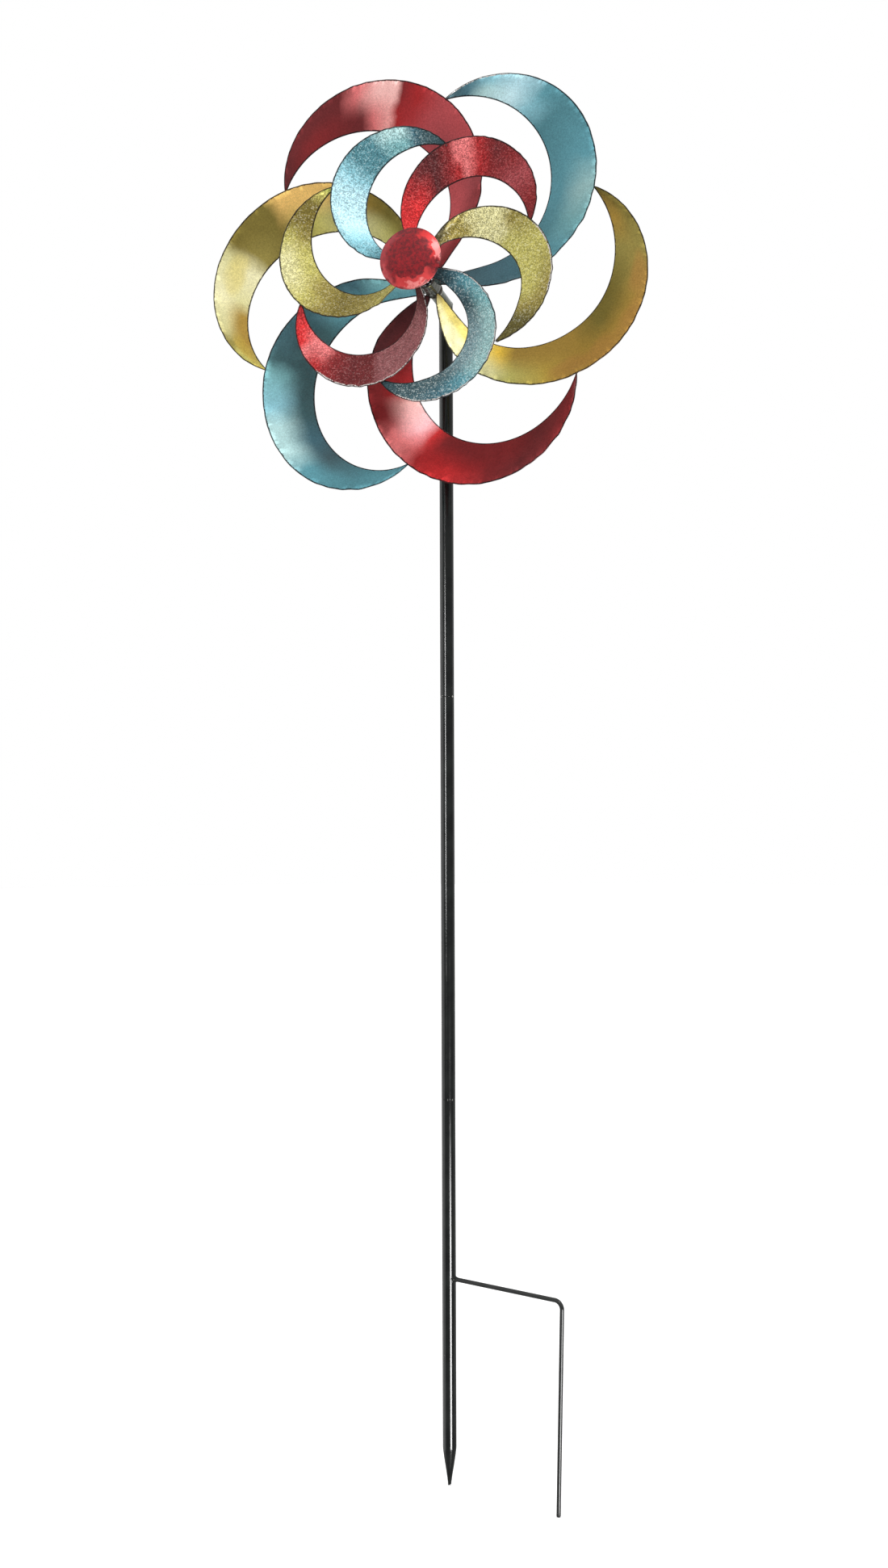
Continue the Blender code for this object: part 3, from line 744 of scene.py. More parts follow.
def blade_finish(name, look, glitter):
    """Metallic paint: satin on the rear blades, coarse glitter on the front ones."""
    finish = Finish(name)
    spot = finish.split(finish.painted("paint"))
    wander = finish.fit(finish.noise(24.0, 3.0), 0.25, 0.75, -0.5, 0.5)
    along = finish.sum(spot["X"], finish.times(wander, SPRAY_WANDER))
    across = finish.sum(spot["Y"], finish.times(wander, 0.12))
    edges = finish.split(finish.painted("edge"))
    from_outer = edges["X"]
    # The sprayed ramps carry painted highlights and painted shade.
    colour = finish.brighten(spray_and_painted_light(finish, along, across, look), finish.cloud(420.0, 0.86, 1.14, 4.0, 0.7))
    if glitter:
        colour, roughness = glitter_coat(finish, along, colour, look.glint_share)
    else:
        beat = look.bend.tip_outer * 1000.0
        colour, roughness = satin_coat(finish, spot["X"], from_outer, colour, beat)
    nearest = finish.sum(from_outer, edges["Y"], "MINIMUM")
    ragged = finish.fit(finish.noise(300.0), 0.2, 0.8, 0.6 * OUTLINE_WIDTH, 1.3 * OUTLINE_WIDTH)
    outline = finish.fit(finish.less(nearest, ragged), -0.0002, 0.0002, 0.92, 0.0)
    colour = finish.blend(outline, colour, OUTLINE)
    # Worn steel and a painted rim highlight, in flecks along the outer edge.
    colour = worn_and_lit_edge(finish, spot["X"], from_outer, colour, look.worn_lit_stretches)
    return finish.finish(colour, roughness, 0.55, PAINT_GLOSS)


# ---- blades ----
BLADE_STEPS = 170
BLADE_ROWS = 14
HAMMER_DEPTH = 0.0018
HAMMER_REACH = 0.018
WAVE_DEPTH = 0.0005
RAGGED_DEPTH = 0.0005
RAGGED_REACH = 0.006
RIM_BULGE = 0.35
HUB_RADIUS = 0.013
ROOT_BEAD = 0.0011
TIP_BEAD = 0.0016
TIP_SUNK = 0.0012
TIP_CLEARANCE = 0.0022


def relief(surface, look, seed, place, along, across, from_outer):
    """How far hammering, waves and dents lift a blade's sheet at a place."""
    ends = ease(along / 0.06) * ease((1.0 - along) / 0.14)
    hammered = lump(along * 38.0, across * 2.0, seed)
    height = HAMMER_DEPTH * hammered * ease(1.0 - from_outer / HAMMER_REACH) * ends
    height += WAVE_DEPTH * lump(along * 9.0, across * 1.5, seed + 7.0) * ends
    for dent in look.dents:
        reach = (place - surface(dent.along, dent.across)).length / dent.radius
        height += dent.height * math.exp(-reach * reach)
    return height, RAGGED_DEPTH * lump(along * 60.0, 3.0, seed) * ends


def blade_mesh(name, shape, look, axes, seed):
    """The closed sheet of one blade, with its dents, hammered outer edge and rounded rims."""

    def surface(along, across):
        return crescent_point(shape, look.bend, along, across)

    def add(rim, point, *fact):
        vertex = form.verts.new(point)
        facts[vertex] = fact
        rim.append(vertex)

    step = 0.002
    form = bmesh.new()
    paint_map = form.loops.layers.uv.new("paint")
    edge_map = form.loops.layers.uv.new("edge")
    facts = {}
    rings = []
    for along in shares(BLADE_STEPS):
        chord = surface(along, 0.0) - surface(along, 1.0)
        width = chord.length
        outward = chord.normalized()
        front = []
        back = []
        rims = []
        for across in shares(BLADE_ROWS):
            place = surface(along, across)
            ahead = surface(min(1.0, along + step), across) - surface(max(0.0, along - step), across)
            normal = ahead.cross(outward).normalized()
            if normal.z < 0.0:
                normal.negate()
            from_outer = across * width
            height, ragged = relief(surface, look, seed, place, along, across, from_outer)
            place += outward * ragged * ease(1.0 - from_outer / RAGGED_REACH)
            place += normal * height
            for side, offset in ((front, 0.5 * SHEET), (back, -0.5 * SHEET)):
                add(side, place + normal * offset, along, across, from_outer, (1.0 - across) * width)
            if across == 0.0:
                add(rims, place + outward * RIM_BULGE * SHEET, along, across, 0.0, width)
            elif across == 1.0:
                add(rims, place - outward * RIM_BULGE * SHEET, along, across, width, 0.0)
        rings.append([rims[0], *front, rims[1], *reversed(back)])
    bridge(form, rings, capped=True)
    for face in form.faces:
        for loop in face.loops:
            along, across, from_outer, from_inner = facts[loop.vert]
            loop[paint_map].uv = (along, across)
            loop[edge_map].uv = (from_outer, from_inner)
    bmesh.ops.triangulate(form, faces=[face for face in form.faces if len(face.verts) > 4])
    return finished_mesh(name, form, axes, 50.0)


def rotor(body, shape, looks, root, phase, glitter, bead_finish):
    """All the blades of one rotor, and the beads at their roots and tips."""
    beads = bmesh.new()
    for index, (node, look) in enumerate(looks.items()):
        turn = Matrix.Rotation(phase + math.tau * index / len(looks), 4, "Z")
        axes = HEAD @ Matrix.Translation((0.0, 0.0, root)) @ turn
        mesh = blade_mesh(node + "_sheet", shape, look, axes, float(index + 10 * glitter))
        prefix, _, colour, _ = node.split("_")
        add_piece(mesh, body, f"{prefix}_{colour}", blade_finish(node + "_paint", look, glitter), node)
        add_beads(beads, shape, look, axes, float(index))
    add_piece(finished_mesh(body + "_welds", beads, STAKE, 80.0), body, "hub_black", bead_finish)


def add_beads(beads, shape, look, axes, seed):
    """The bead along a blade's root on the hub, and the one that ties its tip to the next blade."""
    path = []
    radii = []
    for share in shares(24):
        across = mix(-0.05, 1.05, share)
        point = crescent_point(shape, look.bend, 1.0, across)
        squeeze(point, HUB_RADIUS / math.hypot(point.x, point.y))
        path.append(axes @ point)
        rounded = math.sqrt(max(0.05, 1.0 - abs(2.0 * share - 1.0) ** 6))
        radii.append(ROOT_BEAD * rounded * (1.0 + 0.25 * lump(across * 9.0, seed, 1.0)))
    sweep(path, radii, 14, beads)
    tip = crescent_point(shape, look.bend, 0.0, 0.5)
    path = []
    radii = []
    for share in shares(12):
        path.append(axes @ (tip + UPWARD * mix(-TIP_SUNK, TIP_CLEARANCE, share)))
        rounded = math.sqrt(max(0.05, 1.0 - (2.0 * share - 1.0) ** 2))
        radii.append(TIP_BEAD * rounded * (1.0 + 0.2 * lump(share * 3.0, seed, 6.0)))
    sweep(path, radii, 16, beads)


# ---- finishes of the stake, hubs and fittings ----
ENAMEL_DARK = shade(12, 14, 14)
ENAMEL_PALE = shade(24, 27, 26)
# The neck is the stake's black enamel, painted lighter grey-green as a painted sheen of the light on it.
NECK_SHEEN_DARK = shade(50, 56, 48)
NECK_SHEEN_PALE = shade(84, 90, 78)
BARE_STEEL = shade(206, 206, 200)
ENAMEL_GLOSS = 0.20
ROD_GLOSS = 0.55


def enamel_finish(name, seams=(), dark=ENAMEL_DARK, pale=ENAMEL_PALE):
    """Satin enamel with a faint orange peel, chipped to bright steel at the given seams."""
    finish = Finish(name)
    colour = finish.blend(finish.cloud(45.0, detail=3.0), dark, pale)
    metallic = 0.0
    height = finish.split(finish.place())["Z"]
    for seam in seams:
        distance = finish.sum(finish.less(height, seam), 0.0, "ABSOLUTE")
        near = finish.fit(distance, 0.0004, 0.0030, 0.17, 0.0)
        chipped = finish.fit(finish.sum(finish.noise(420.0, 3.0, 0.6), near), 0.76, 0.80)
        colour = finish.blend(chipped, colour, BARE_STEEL)
        metallic = finish.sum(chipped, metallic, "MAXIMUM")
    finish.bump(finish.noise(700.0), 0.04, 0.0001)
    return finish.finish(colour, finish.cloud(28.0, 0.11, 0.19, 4.0), metallic, ENAMEL_GLOSS)


def rod_finish():
    """Black enamel over a hot-bent rod, dimpled along the arm and smooth down the leg."""
    finish = Finish("prong_enamel")
    colour = finish.blend(finish.cloud(60.0, detail=3.0), ENAMEL_DARK, ENAMEL_PALE)
    dimpled = finish.fit(finish.split(finish.place())["Z"], -0.030, -0.010, 0.04, 0.30)
    finish.bump(finish.noise(170.0, 3.0, 0.6), dimpled, 0.0006)
    return finish.finish(colour, finish.cloud(50.0, 0.12, 0.22), gloss=ROD_GLOSS)


def worn_black_finish(name, dark, pale, metallic):
    """Glossy black paint over turned steel, rubbed a little thin in places."""
    finish = Finish(name)
    colour = finish.blend(finish.fit(finish.noise(120.0, 3.0), 0.45, 0.70), dark, pale)
    finish.bump(finish.noise(800.0), 0.05, 0.0001)
    return finish.finish(colour, finish.cloud(90.0, 0.14, 0.24, 3.0), metallic)


def plated_finish(name, dark, pale, roughness):
    """Plated or ground steel with fine turning marks and a little staining."""
    finish = Finish(name)
    colour = finish.blend(finish.cloud(130.0, detail=4.0, roughness=0.6), dark, pale)
    finish.bump(finish.noise(2400.0), 0.10, 0.00005)
    return finish.finish(colour, finish.cloud(300.0, roughness - 0.06, roughness + 0.06), 1.0)


@dataclass
class RimHighlight:
    """A painted highlight near the cap's rim, a paler place where a light is reflected: its bearing and half
    its angle in degrees, where it starts and how softly, as shares of the cap's radius, how much it covers,
    and its colour."""

    bearing: float
    half_angle: float
    start: float
    softness: float
    share: float
    colour: tuple


# Painted highlights: the pale crescents where lights are reflected near the rim.
CAP_HIGHLIGHTS = (
    RimHighlight(178.0, 58.0, 0.66, 0.22, 0.46, shade(192, 68, 74)),
    RimHighlight(232.0, 40.0, 0.80, 0.14, 0.45, shade(208, 92, 94)),
    RimHighlight(30.0, 36.0, 0.66, 0.10, 0.80, shade(226, 46, 46)),
    RimHighlight(13.0, 20.0, 0.78, 0.05, 0.85, shade(246, 150, 148)),
    RimHighlight(281.0, 44.0, 0.66, 0.07, 0.75, shade(216, 58, 58)),
    RimHighlight(282.0, 14.0, 0.78, 0.08, 0.72, shade(240, 146, 142)),
)


def cap_finish():
    """Metallic red paint, dabbed dark in the middle, with painted highlights in places towards the rim."""
    finish = Finish("cap_paint")
    dabs = finish.fit(finish.noise(230.0, 5.0, 0.70), 0.32, 0.68)
    colour = finish.blend(dabs, shade(86, 10, 20), shade(156, 16, 28))
    colour = finish.brighten(colour, finish.cloud(520.0, 0.84, 1.16, 3.0, 0.6))
    place = finish.painted("paint")
    outward = finish.node("ShaderNodeVectorMath", {0: place}, operation="LENGTH").outputs["Value"]
    heading = finish.node("ShaderNodeVectorMath", {0: place}, operation="NORMALIZE").outputs["Vector"]
    wander = finish.fit(finish.noise(120.0, 3.0), 0.25, 0.75, -0.07, 0.07)
    outward = finish.sum(outward, wander)
    # Each painted highlight is blended in by its bearing and its distance from the middle.
    for patch in CAP_HIGHLIGHTS:
        towards = (*around(math.radians(patch.bearing)), 0.0)
        aim = finish.node("ShaderNodeVectorMath", {0: heading, 1: towards}, operation="DOT_PRODUCT")
        edge = math.cos(math.radians(patch.half_angle + 8.0))
        full = math.cos(math.radians(patch.half_angle - 8.0))
        aimed = finish.fit(finish.sum(aim.outputs["Value"], wander), edge, full)
        ring = finish.fit(outward, patch.start, patch.start + patch.softness, 0.0, patch.share)
        colour = finish.blend(finish.times(aimed, ring), colour, patch.colour)
    rim = finish.fit(outward, 0.955, 0.99, 0.0, 0.65)
    colour = finish.blend(rim, colour, shade(64, 14, 20))
    finish.bump(finish.noise(500.0, 3.0), 0.15, 0.0002)
    return finish.finish(colour, finish.cloud(90.0, 0.30, 0.42, 3.0), 0.35)


# ---- stake ----
TUBE_RADIUS = 0.0095
TUBE_WALL = 0.0012
TUBE_SIDES = 96
POINT_LENGTH = 0.052
POINT_HALF_WIDTH = 0.0022
POINT_HALF_DEPTH = 0.0042
SPIGOT_SHOULDER = 0.004
SPIGOT_END_STEP = 0.0006
EDGE_SOFTNESS = 0.0003


def lower_pole():
    """The bottom tube, open above for the spigot, crimped to a chisel point cut off askew."""
    span = measure("lower_pole", STAKE)
    taper_top = span.low + POINT_LENGTH
    inside = TUBE_RADIUS - TUBE_WALL
    soft = EDGE_SOFTNESS

    def crimp(point, angle):
        along = max(0.0, (taper_top - point.z) / POINT_LENGTH)
        eased = ease(along) * 0.35 + along * 0.65
        point.x *= mix(1.0, POINT_HALF_WIDTH / TUBE_RADIUS, eased)
        point.y *= mix(1.0, POINT_HALF_DEPTH / TUBE_RADIUS, eased)
        fold = ease((along - 0.55) / 0.3) * max(0.0, math.cos(3.0 * (angle - 0.5)))
        squeeze(point, 1.0 - 0.16 * fold)
        point.z += ease((along - 0.86) / 0.14) * (0.0009 + 0.35 * point.x)

    profile = [(0.0, taper_top + 0.02), (inside, taper_top + 0.03), (inside, span.high - soft)]
    profile += [(inside + soft, span.high), (TUBE_RADIUS - soft, span.high)]
    profile += [(TUBE_RADIUS, height) for height in (span.high - soft, span.high - 2 * soft)]
    profile += [(TUBE_RADIUS, taper_top + 2 * soft)]
    profile += [(TUBE_RADIUS, mix(taper_top, span.low, share)) for share in shares(26)]
    profile += [(0.5 * TUBE_RADIUS, span.low), (0.0, span.low)]
    shape = lathe(profile, TUBE_SIDES, closed=False, shape_ring=crimp)
    finish = enamel_finish("lower_pole_enamel", (span.high, span.high + 0.012))
    stand_in("lower_pole", shape, STAKE, "stake", "stake_black", finish)


PRONG_RADIUS = 0.003
PRONG_REACH = 0.1834
PRONG_HEADING = math.radians(-20.7)
PRONG_ARM_Z = -0.0007
PRONG_BEND_RADIUS = 0.011
PRONG_LEAN = 0.0064
PRONG_TIP = 0.0018


def prong():
    """The bent rod: an arm out from the stake and a leg down beside the point."""
    span = measure("lower_pole", STAKE)
    turn = Matrix.Rotation(PRONG_HEADING, 4, "Z")
    bend = PRONG_BEND_RADIUS
    start = TUBE_RADIUS + GAP
    path = [Vector((mix(start, PRONG_REACH - bend, share), 0.0, PRONG_ARM_Z)) for share in shares(30)[:-1]]
    for share in shares(24):
        angle = 0.5 * math.pi * share
        across = PRONG_REACH - bend + bend * math.sin(angle)
        path.append(Vector((across, 0.0, PRONG_ARM_Z - bend + bend * math.cos(angle))))
    elbow = path[-1]
    foot = Vector((PRONG_REACH - PRONG_LEAN, 0.0, span.low))
    tip = PRONG_TIP / (foot - elbow).length
    for share in shares(40)[1:]:
        path.append(elbow.lerp(foot, share * (1.0 - tip)))
    radii = [PRONG_RADIUS] * len(path)
    for share in shares(6)[1:]:
        angle = 0.5 * math.pi * share
        path.append(elbow.lerp(foot, 1.0 - tip * (1.0 - math.sin(angle))))
        radii.append(PRONG_RADIUS * (0.35 + 0.65 * math.cos(angle)))
    radii = [radius * (1.0 - 0.02 * abs(noise.noise(point * 130.0))) for point, radius in zip(path, radii)]
    stand_in("prong", sweep(path, radii, 32), turn, "stake", "stake_black", rod_finish(), 60.0)
    weld = finished_mesh("prong_weld", prong_weld(), turn, 80.0)
    add_piece(weld, "stake", "stake_black", enamel_finish("weld_enamel", (PRONG_ARM_Z,)))


def prong_weld():
    """The bead round the prong's root, lying on the round stake."""
    shape = bmesh.new()
    rings = []
    for share in shares(9):
        reach = mix(0.0062, PRONG_RADIUS + 0.0001, share**0.55)
        stand = 0.0045 * share**1.6
        ring = []
        for side in range(48):
            angle = math.tau * side / 48
            lumps = lump(2.2 * math.cos(angle), 2.2 * math.sin(angle), 2.0 * share)
            wide = reach * (1.0 + 0.18 * lumps * (1.0 - share))
            aside = wide * math.cos(angle)
            on_stake = math.sqrt(max(0.0, TUBE_RADIUS**2 - aside**2))
            out = on_stake + stand + 0.0006 * lumps * share * (1 - share)
            ring.append(shape.verts.new((out, aside, PRONG_ARM_Z + wide * math.sin(angle))))
        rings.append(ring)
    bridge(shape, rings, capped=True)
    return shape


def spigot_profile(node, shoulder):
    """The section of a tube whose lower end, below a shoulder, is swaged to plug into the one below."""
    span = measure(node, STAKE)
    inside = TUBE_RADIUS - TUBE_WALL
    spigot = inside - GAP
    bore = spigot - TUBE_WALL
    profile = [(TUBE_RADIUS, span.high), (TUBE_RADIUS, shoulder), (spigot, shoulder)]
    profile += [(spigot, span.low + 0.002), (spigot - SPIGOT_END_STEP, span.low), (bore, span.low)]
    profile += [(bore, shoulder + SPIGOT_SHOULDER), (inside, shoulder + 2 * SPIGOT_SHOULDER)]
    return profile + [(inside, span.high)]


def middle_pole():
    """The middle tube."""
    profile = spigot_profile("middle_pole", MIDDLE_JOINT)
    shape = lathe(soften(profile, EDGE_SOFTNESS), TUBE_SIDES)
    finish = enamel_finish("middle_pole_enamel", (MIDDLE_JOINT, UPPER_JOINT))
    stand_in("middle_pole", shape, STAKE, "middle_section", "stake_black", finish)


# ---- head ----
MITRE_SLOPE = SHAFT.y / (1.0 + SHAFT.z)
MITRE_SETBACK = 0.5 * GAP / (Vector((0.0, SHAFT.y, 1.0 + SHAFT.z)).normalized().z)
MITRE_REACH = 0.012
BEAD_RADIUS = 0.0008
BEAD_SUNK = 0.0004


def upper_pole():
    """The top tube, cut on the mitre where the neck joins it."""
    profile = spigot_profile("upper_pole", UPPER_JOINT)
    top = NECK.z - MITRE_SETBACK
    profile[0] = (TUBE_RADIUS, top)
    profile[-1] = (TUBE_RADIUS - TUBE_WALL, top)

    def mitre(point, angle):
        if point.z > top - MITRE_REACH:
            point.z -= MITRE_SLOPE * point.y

    shape = lathe(soften(profile, EDGE_SOFTNESS), TUBE_SIDES, shape_ring=mitre)
    finish = enamel_finish("upper_pole_enamel", (UPPER_JOINT,))
    stand_in("upper_pole", shape, STAKE, "head", "stake_black", finish)


def neck():
    """The arm across the top of the pole, its plug, and the bead along the mitre."""
    front = measure("neck_arm", HEAD).high
    profile = tube_profile(TUBE_RADIUS - TUBE_WALL, TUBE_RADIUS, MITRE_SETBACK, front)

    def mitre(point, angle):
        if point.z < MITRE_REACH:
            point.z += MITRE_SLOPE * point.y

    # Painted sheen: the neck, its plug and its bead get the lighter enamel.
    finish = enamel_finish("neck_enamel", (), NECK_SHEEN_DARK, NECK_SHEEN_PALE)
    shape = lathe(soften(profile, EDGE_SOFTNESS), TUBE_SIDES, shape_ring=mitre)
    stand_in("neck_arm", shape, HEAD, "head", "stake_black", finish)
    ring("neck_plug", "head", "stake_black", finish)

    path = []
    radii = []
    for share in shares(96):
        angle = math.tau * share
        across = around(angle, TUBE_RADIUS - BEAD_SUNK)
        path.append(NECK + Vector((*across, -MITRE_SLOPE * across.y)))
        radii.append(BEAD_RADIUS * (1.0 + 0.35 * lump(*around(angle, 4.0), 5.0)))
    bead = finished_mesh("neck_weld", sweep(path, radii, 12), STAKE, 80.0)
    add_piece(bead, "head", "stake_black", finish)


# ---- fittings ----
def tube_profile(inner, outer, low, high):
    """The section of a plain tube or ring."""
    return [(outer, high), (outer, low), (inner, low), (inner, high)]


def ring(node, body, slot, finish, softness=0.0004):
    """A washer, sleeve, spacer or race, the size of its node, with rounded corners."""
    span = measure(node, HEAD)
    profile = tube_profile(span.inner, span.outer, span.low, span.high)
    stand_in(node, lathe(soften(profile, softness), 72), HEAD, body, slot, finish, 50.0)


AXLE_CHAMFER = 0.0008
THREAD_PITCH = 0.00125
THREAD_LENGTH = 0.022
THREAD_DEPTH = 0.00045
RINGS_PER_TURN = 8


def axle(finish):
    """The rod through both rotors, threaded at its front end."""
    span = measure("axle", HEAD)
    end = span.high - AXLE_CHAMFER
    thread_start = span.high - THREAD_LENGTH

    def thread(point, angle):
        turns = (point.z - thread_start) / THREAD_PITCH - angle / math.tau
        cut = abs(2.0 * (turns % 1.0) - 1.0)
        fade = ease((point.z - thread_start) / THREAD_PITCH) * ease((end - point.z) / 0.0002)
        radius = math.hypot(point.x, point.y)
        if radius > 0.0:
            squeeze(point, 1.0 - THREAD_DEPTH * cut * fade / radius)

    profile = [(0.0, span.low), (span.outer - AXLE_CHAMFER, span.low), (span.outer, span.low + AXLE_CHAMFER)]
    count = int((end - thread_start) / THREAD_PITCH * RINGS_PER_TURN)
    profile += [(span.outer, mix(thread_start, end, share)) for share in shares(count)]
    profile += [(span.outer - AXLE_CHAMFER, span.high), (0.0, span.high)]
    shape = lathe(profile, 48, closed=False, shape_ring=thread)
    stand_in("axle", shape, HEAD, "head", "axle_steel", finish)


NUT_ACROSS_FLATS = 0.013


def nut(node, finish):
    """A hexagon nut with the corners of both ends turned off at 30 degrees."""
    span = measure(node, HEAD)
    flat = 0.5 * NUT_ACROSS_FLATS
    corner = flat / math.cos(math.pi / 6)
    fall = (corner - flat) * 0.6
    profile = [(span.inner, span.low), (flat, span.low), (corner, span.low + fall)]
    profile += [(corner, span.high - fall), (flat, span.high), (span.inner, span.high)]

    def hexagon(point, angle):
        radius = math.hypot(point.x, point.y)
        sector = (angle + math.pi / 6) % (math.pi / 3) - math.pi / 6
        if radius > flat:
            squeeze(point, min(1.0, flat / math.cos(sector) / radius))

    turned = HEAD @ Matrix.Rotation(math.pi / 6, 4, "Z")
    stand_in(node, lathe(profile, 96, shape_ring=hexagon), turned, "head", "zinc", finish, 20.0)


HUB_LANDS = 3
HUB_GROOVE = 0.0008


def hub(prefix, finish):
    """The barrel that the blades are welded to: three rounded lands with grooves between."""
    node = prefix + "_hub"
    span = measure(node, HEAD)
    profile = [(span.inner, span.low), (span.inner, span.high)]
    land = (span.high - span.low) / HUB_LANDS
    for index in reversed(range(HUB_LANDS)):
        for share in shares(12):
            crown = 1.0 - abs(2.0 * share - 1.0) ** 3.5
            profile.append((span.outer - HUB_GROOVE * (1.0 - crown), span.low + land * (index + 1 - share)))
    stand_in(node, lathe(profile, 96), HEAD, prefix + "_rotor", "hub_black", finish, 50.0)


BALLS = 7
BALL_CIRCLE = 0.00775
BALL_RADIUS = 0.0018
CAGE_HALF = 0.0011
CAGE_WALL = 0.0003


def ball_cage(node, body, finish):
    """Seven balls and the ribbon that spaces them."""
    span = measure(node, HEAD)
    middle = 0.5 * (span.low + span.high)
    walls = (BALL_CIRCLE - CAGE_WALL, BALL_CIRCLE + CAGE_WALL)
    profile = tube_profile(*walls, middle - CAGE_HALF, middle + CAGE_HALF)
    shape = lathe(soften(profile, 0.0001, 2), 84)
    for index in range(BALLS):
        angle = math.tau * index / BALLS
        place = Matrix.Translation((BALL_CIRCLE * math.cos(angle), BALL_CIRCLE * math.sin(angle), middle))
        bmesh.ops.create_uvsphere(shape, u_segments=24, v_segments=16, radius=BALL_RADIUS, matrix=place)
    stand_in(node, shape, HEAD, body, "bearing_steel", finish, 50.0)


def bearings(prefix, finish):
    """Both bearings of a hub."""
    for letter in ("a", "b"):
        name = f"{prefix}_bearing_{letter}"
        ring(name + "_inner_race", "head", "bearing_steel", finish, 0.0003)
        ring(name + "_outer_race", prefix + "_rotor", "bearing_steel", finish, 0.0003)
        ball_cage(name + "_ball_cage", prefix + "_rotor", finish)


CAP_RADIUS = 0.041
CAP_RISE = 0.011
CAP_SHEET = 0.001
CAP_DIMPLES = 0.00022


def cap():
    """The pressed dome in front, a little uneven, with a rolled rim."""
    span = measure("cap_dome", HEAD)
    sphere = (CAP_RADIUS**2 + CAP_RISE**2) / (2.0 * CAP_RISE)
    centre = span.high - sphere
    reach = math.asin(CAP_RADIUS / sphere)
    roll = 0.5 * CAP_SHEET

    def arc(radius):
        angles = [reach * share * (1.0 - roll / CAP_RADIUS) for share in shares(40)]
        return [Vector((radius * math.sin(angle), centre + radius * math.cos(angle))) for angle in angles]

    outer = arc(sphere)
    inner = arc(sphere - CAP_SHEET)
    lip = outer[-1].lerp(inner[-1], 0.5)
    edge = []
    for share in shares(8)[1:-1]:
        edge.append(lip + around(math.pi * (0.5 - share) - reach, roll))

    def pressed(point, angle):
        uneven = CAP_DIMPLES * (lump(point.x * 55.0, point.y * 55.0, 2.0) - 0.5)
        point.z += uneven * ease((CAP_RADIUS - math.hypot(point.x, point.y)) / 0.008 + 0.3)

    shape = lathe(outer + edge + inner[::-1], 160, closed=False, shape_ring=pressed)
    bmesh.ops.remove_doubles(shape, verts=shape.verts, dist=1e-7)
    paint_map = shape.loops.layers.uv.new("paint")
    for face in shape.faces:
        for loop in face.loops:
            loop[paint_map].uv = loop.vert.co.xy / CAP_RADIUS
    stand_in("cap_dome", shape, HEAD, "head", "cap_red", cap_finish(), 60.0)


# ---- stage ----
WHITE = (1.0, 1.0, 1.0, 1.0)
WORLD_LOW = 0.78
WORLD_HIGH = 1.20
FLOOR_RADIUS = 14.0
FLOOR_GLOW = 0.35
PANEL_DISTANCE = 3.0


@dataclass
class Panel:
    """A soft rectangular light, placed by its bearing from the front, its height angle and size. It
    lights every piece, or only some, or all but those left out."""

    name: str
    azimuth: float
    elevation: float
    width: float
    height: float
    brightness: float
    gloss_only: bool = False
    only: tuple = ()
    left_out: tuple = ()


def add_panel(panel, target):
    """Hang a light facing the target. A gloss panel shows only in reflections."""
    azimuth = math.radians(panel.azimuth)
    elevation = math.radians(panel.elevation)
    level = math.cos(elevation)
    towards = Vector((level * math.sin(azimuth), -level * math.cos(azimuth), math.sin(elevation)))
    data = bpy.data.lights.new(panel.name, "AREA")
    data.shape = "RECTANGLE"
    data.size = panel.width
    data.size_y = panel.height
    data.energy = panel.brightness * math.pi * panel.width * panel.height
    light = add_object(panel.name, data)
    light.location = target + towards * PANEL_DISTANCE
    light.rotation_euler = towards.to_track_quat("Z", "Y").to_euler()
    light.visible_camera = False
    light.visible_diffuse = not panel.gloss_only
    chosen = panel.only or panel.left_out
    if chosen:
        receivers = bpy.data.collections.new(panel.name + "_receivers")
        for name in chosen:
            receivers.objects.link(bpy.data.objects[name])
        for row in receivers.collection_objects:
            row.light_linking.link_state = "INCLUDE" if panel.only else "EXCLUDE"
        light.light_linking.receiver_collection = receivers


def add_world():
    """White to the camera. Around the object, bright above and darker below."""
    world = bpy.data.worlds.new("studio")
    bpy.context.scene.world = world
    world.use_nodes = True
    world.node_tree.nodes.clear()
    nodes = Nodes(world.node_tree)
    level = nodes.fit(nodes.split(nodes.place("Generated"))["Z"], 0.02, 0.35, WORLD_LOW, WORLD_HIGH)
    lit = nodes.node("ShaderNodeBackground", {"Strength": level}).outputs["Background"]
    seen = nodes.node("ShaderNodeBackground", {"Color": WHITE}).outputs["Background"]
    by_camera = nodes.node("ShaderNodeLightPath").outputs["Is Camera Ray"]
    chosen = nodes.node("ShaderNodeMixShader", {"Fac": by_camera, 1: lit, 2: seen}).outputs["Shader"]
    nodes.node("ShaderNodeOutputWorld", {"Surface": chosen})


def floor_finish():
    """A plain white studio floor, faintly uneven."""
    finish = Finish("studio_floor")
    colour = finish.ramp(finish.noise(3.0), [(0.3, shade(250, 250, 250)), (0.7, shade(253, 253, 253))])
    finish.feed(finish.shader.inputs["Emission Color"], WHITE)
    finish.feed(finish.shader.inputs["Emission Strength"], FLOOR_GLOW)
    return finish.finish(colour, 0.9)


def add_floor():
    """A round floor that the point and the prong stand on, left out of reflections and shadows."""
    shape = bmesh.new()
    bmesh.ops.create_circle(shape, cap_ends=True, segments=128, radius=FLOOR_RADIUS)
    mesh = bpy.data.meshes.new("floor")
    shape.to_mesh(mesh)
    shape.free()
    mesh.transform(Matrix.Translation((0.0, 0.0, CAD_BOX[0].z)))
    mesh.materials.append(floor_finish())
    floor = add_object("floor", mesh)
    floor.visible_glossy = False
    floor.visible_shadow = False


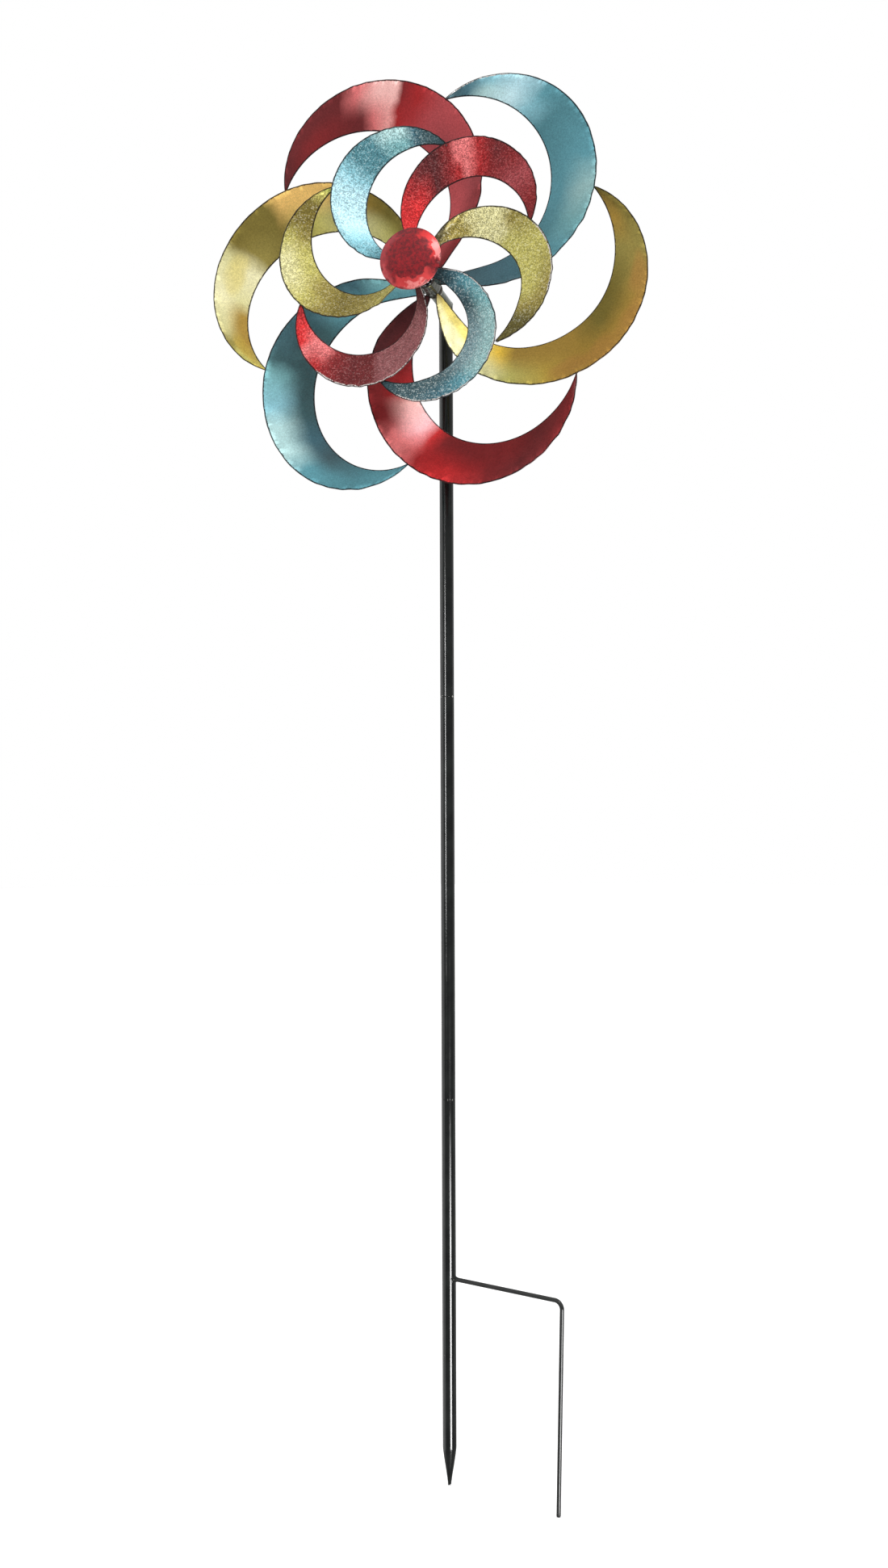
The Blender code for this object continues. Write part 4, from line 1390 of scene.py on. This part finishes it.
POLES = ("lower_pole_fine", "middle_pole_fine", "upper_pole_fine")
PRONG = ("prong_fine", "prong_weld")
PANELS = (
    Panel("key", 42.0, 50.0, 1.8, 1.3, 3.0),
    Panel("low_panel", 43.0, -22.0, 2.0, 1.1, 32.0, True, left_out=POLES + PRONG),
    Panel("left_strip", -80.0, 0.0, 0.5, 3.0, 1.2, True),
    Panel("right_strip", 122.0, 0.0, 0.5, 3.0, 1.2, True),
    Panel("pole_low_panel", 42.0, -24.5, 1.1, 1.1, 62.0, True, only=POLES),
    Panel("pole_window", -15.0, 11.0, 0.4, 1.0, 60.0, True, only=POLES),
    Panel("pole_left_panel", -80.0, 0.0, 3.4, 4.2, 2.2, True, only=POLES),
    Panel("prong_low_panel", 42.0, -24.5, 1.6, 1.1, 15.0, True, only=PRONG),
)

add_camera()
bpy.context.scene.view_settings.view_transform = "Standard"
add_world()
add_floor()

lower_pole()
prong()
middle_pole()
upper_pole()
neck()
ZINC = plated_finish("zinc_plate", shade(128, 126, 118), shade(190, 188, 178), 0.34)
DRAWN_STEEL = plated_finish("drawn_steel", shade(120, 120, 122), shade(176, 176, 178), 0.28)
GROUND_STEEL = plated_finish("ground_steel", shade(150, 150, 152), shade(196, 196, 198), 0.18)
# The hubs and the spacer are glossy black paint, painted mid grey as a painted sheen of the light on them.
HUB_SHEEN_PAINT = worn_black_finish("hub_paint", shade(90, 92, 86), shade(116, 117, 110), 0.75)
WELD_PAINT = worn_black_finish("weld_paint", shade(26, 29, 28), shade(66, 68, 64), 0.25)
axle(DRAWN_STEEL)
for NODE in ("back_washer", "back_spacer", "front_washer"):
    ring(NODE, "head", "zinc", ZINC)
ring("rotor_spacer", "head", "hub_black", HUB_SHEEN_PAINT)
nut("lock_nut", ZINC)
nut("cap_nut", ZINC)
for PREFIX in ("rear", "front"):
    hub(PREFIX, HUB_SHEEN_PAINT)
    ring(PREFIX + "_bearing_spacer", "head", "zinc", ZINC)
    bearings(PREFIX, GROUND_STEEL)
cap()
rotor("rear_rotor", REAR_CRESCENT, REAR_LOOKS, REAR_ROOT, REAR_PHASE, False, WELD_PAINT)
rotor("front_rotor", FRONT_CRESCENT, FRONT_LOOKS, FRONT_ROOT, FRONT_PHASE, True, WELD_PAINT)
for PANEL in PANELS:
    add_panel(PANEL, Vector((0.0, 0.0, 0.2 if PANEL.gloss_only else NECK.z)))
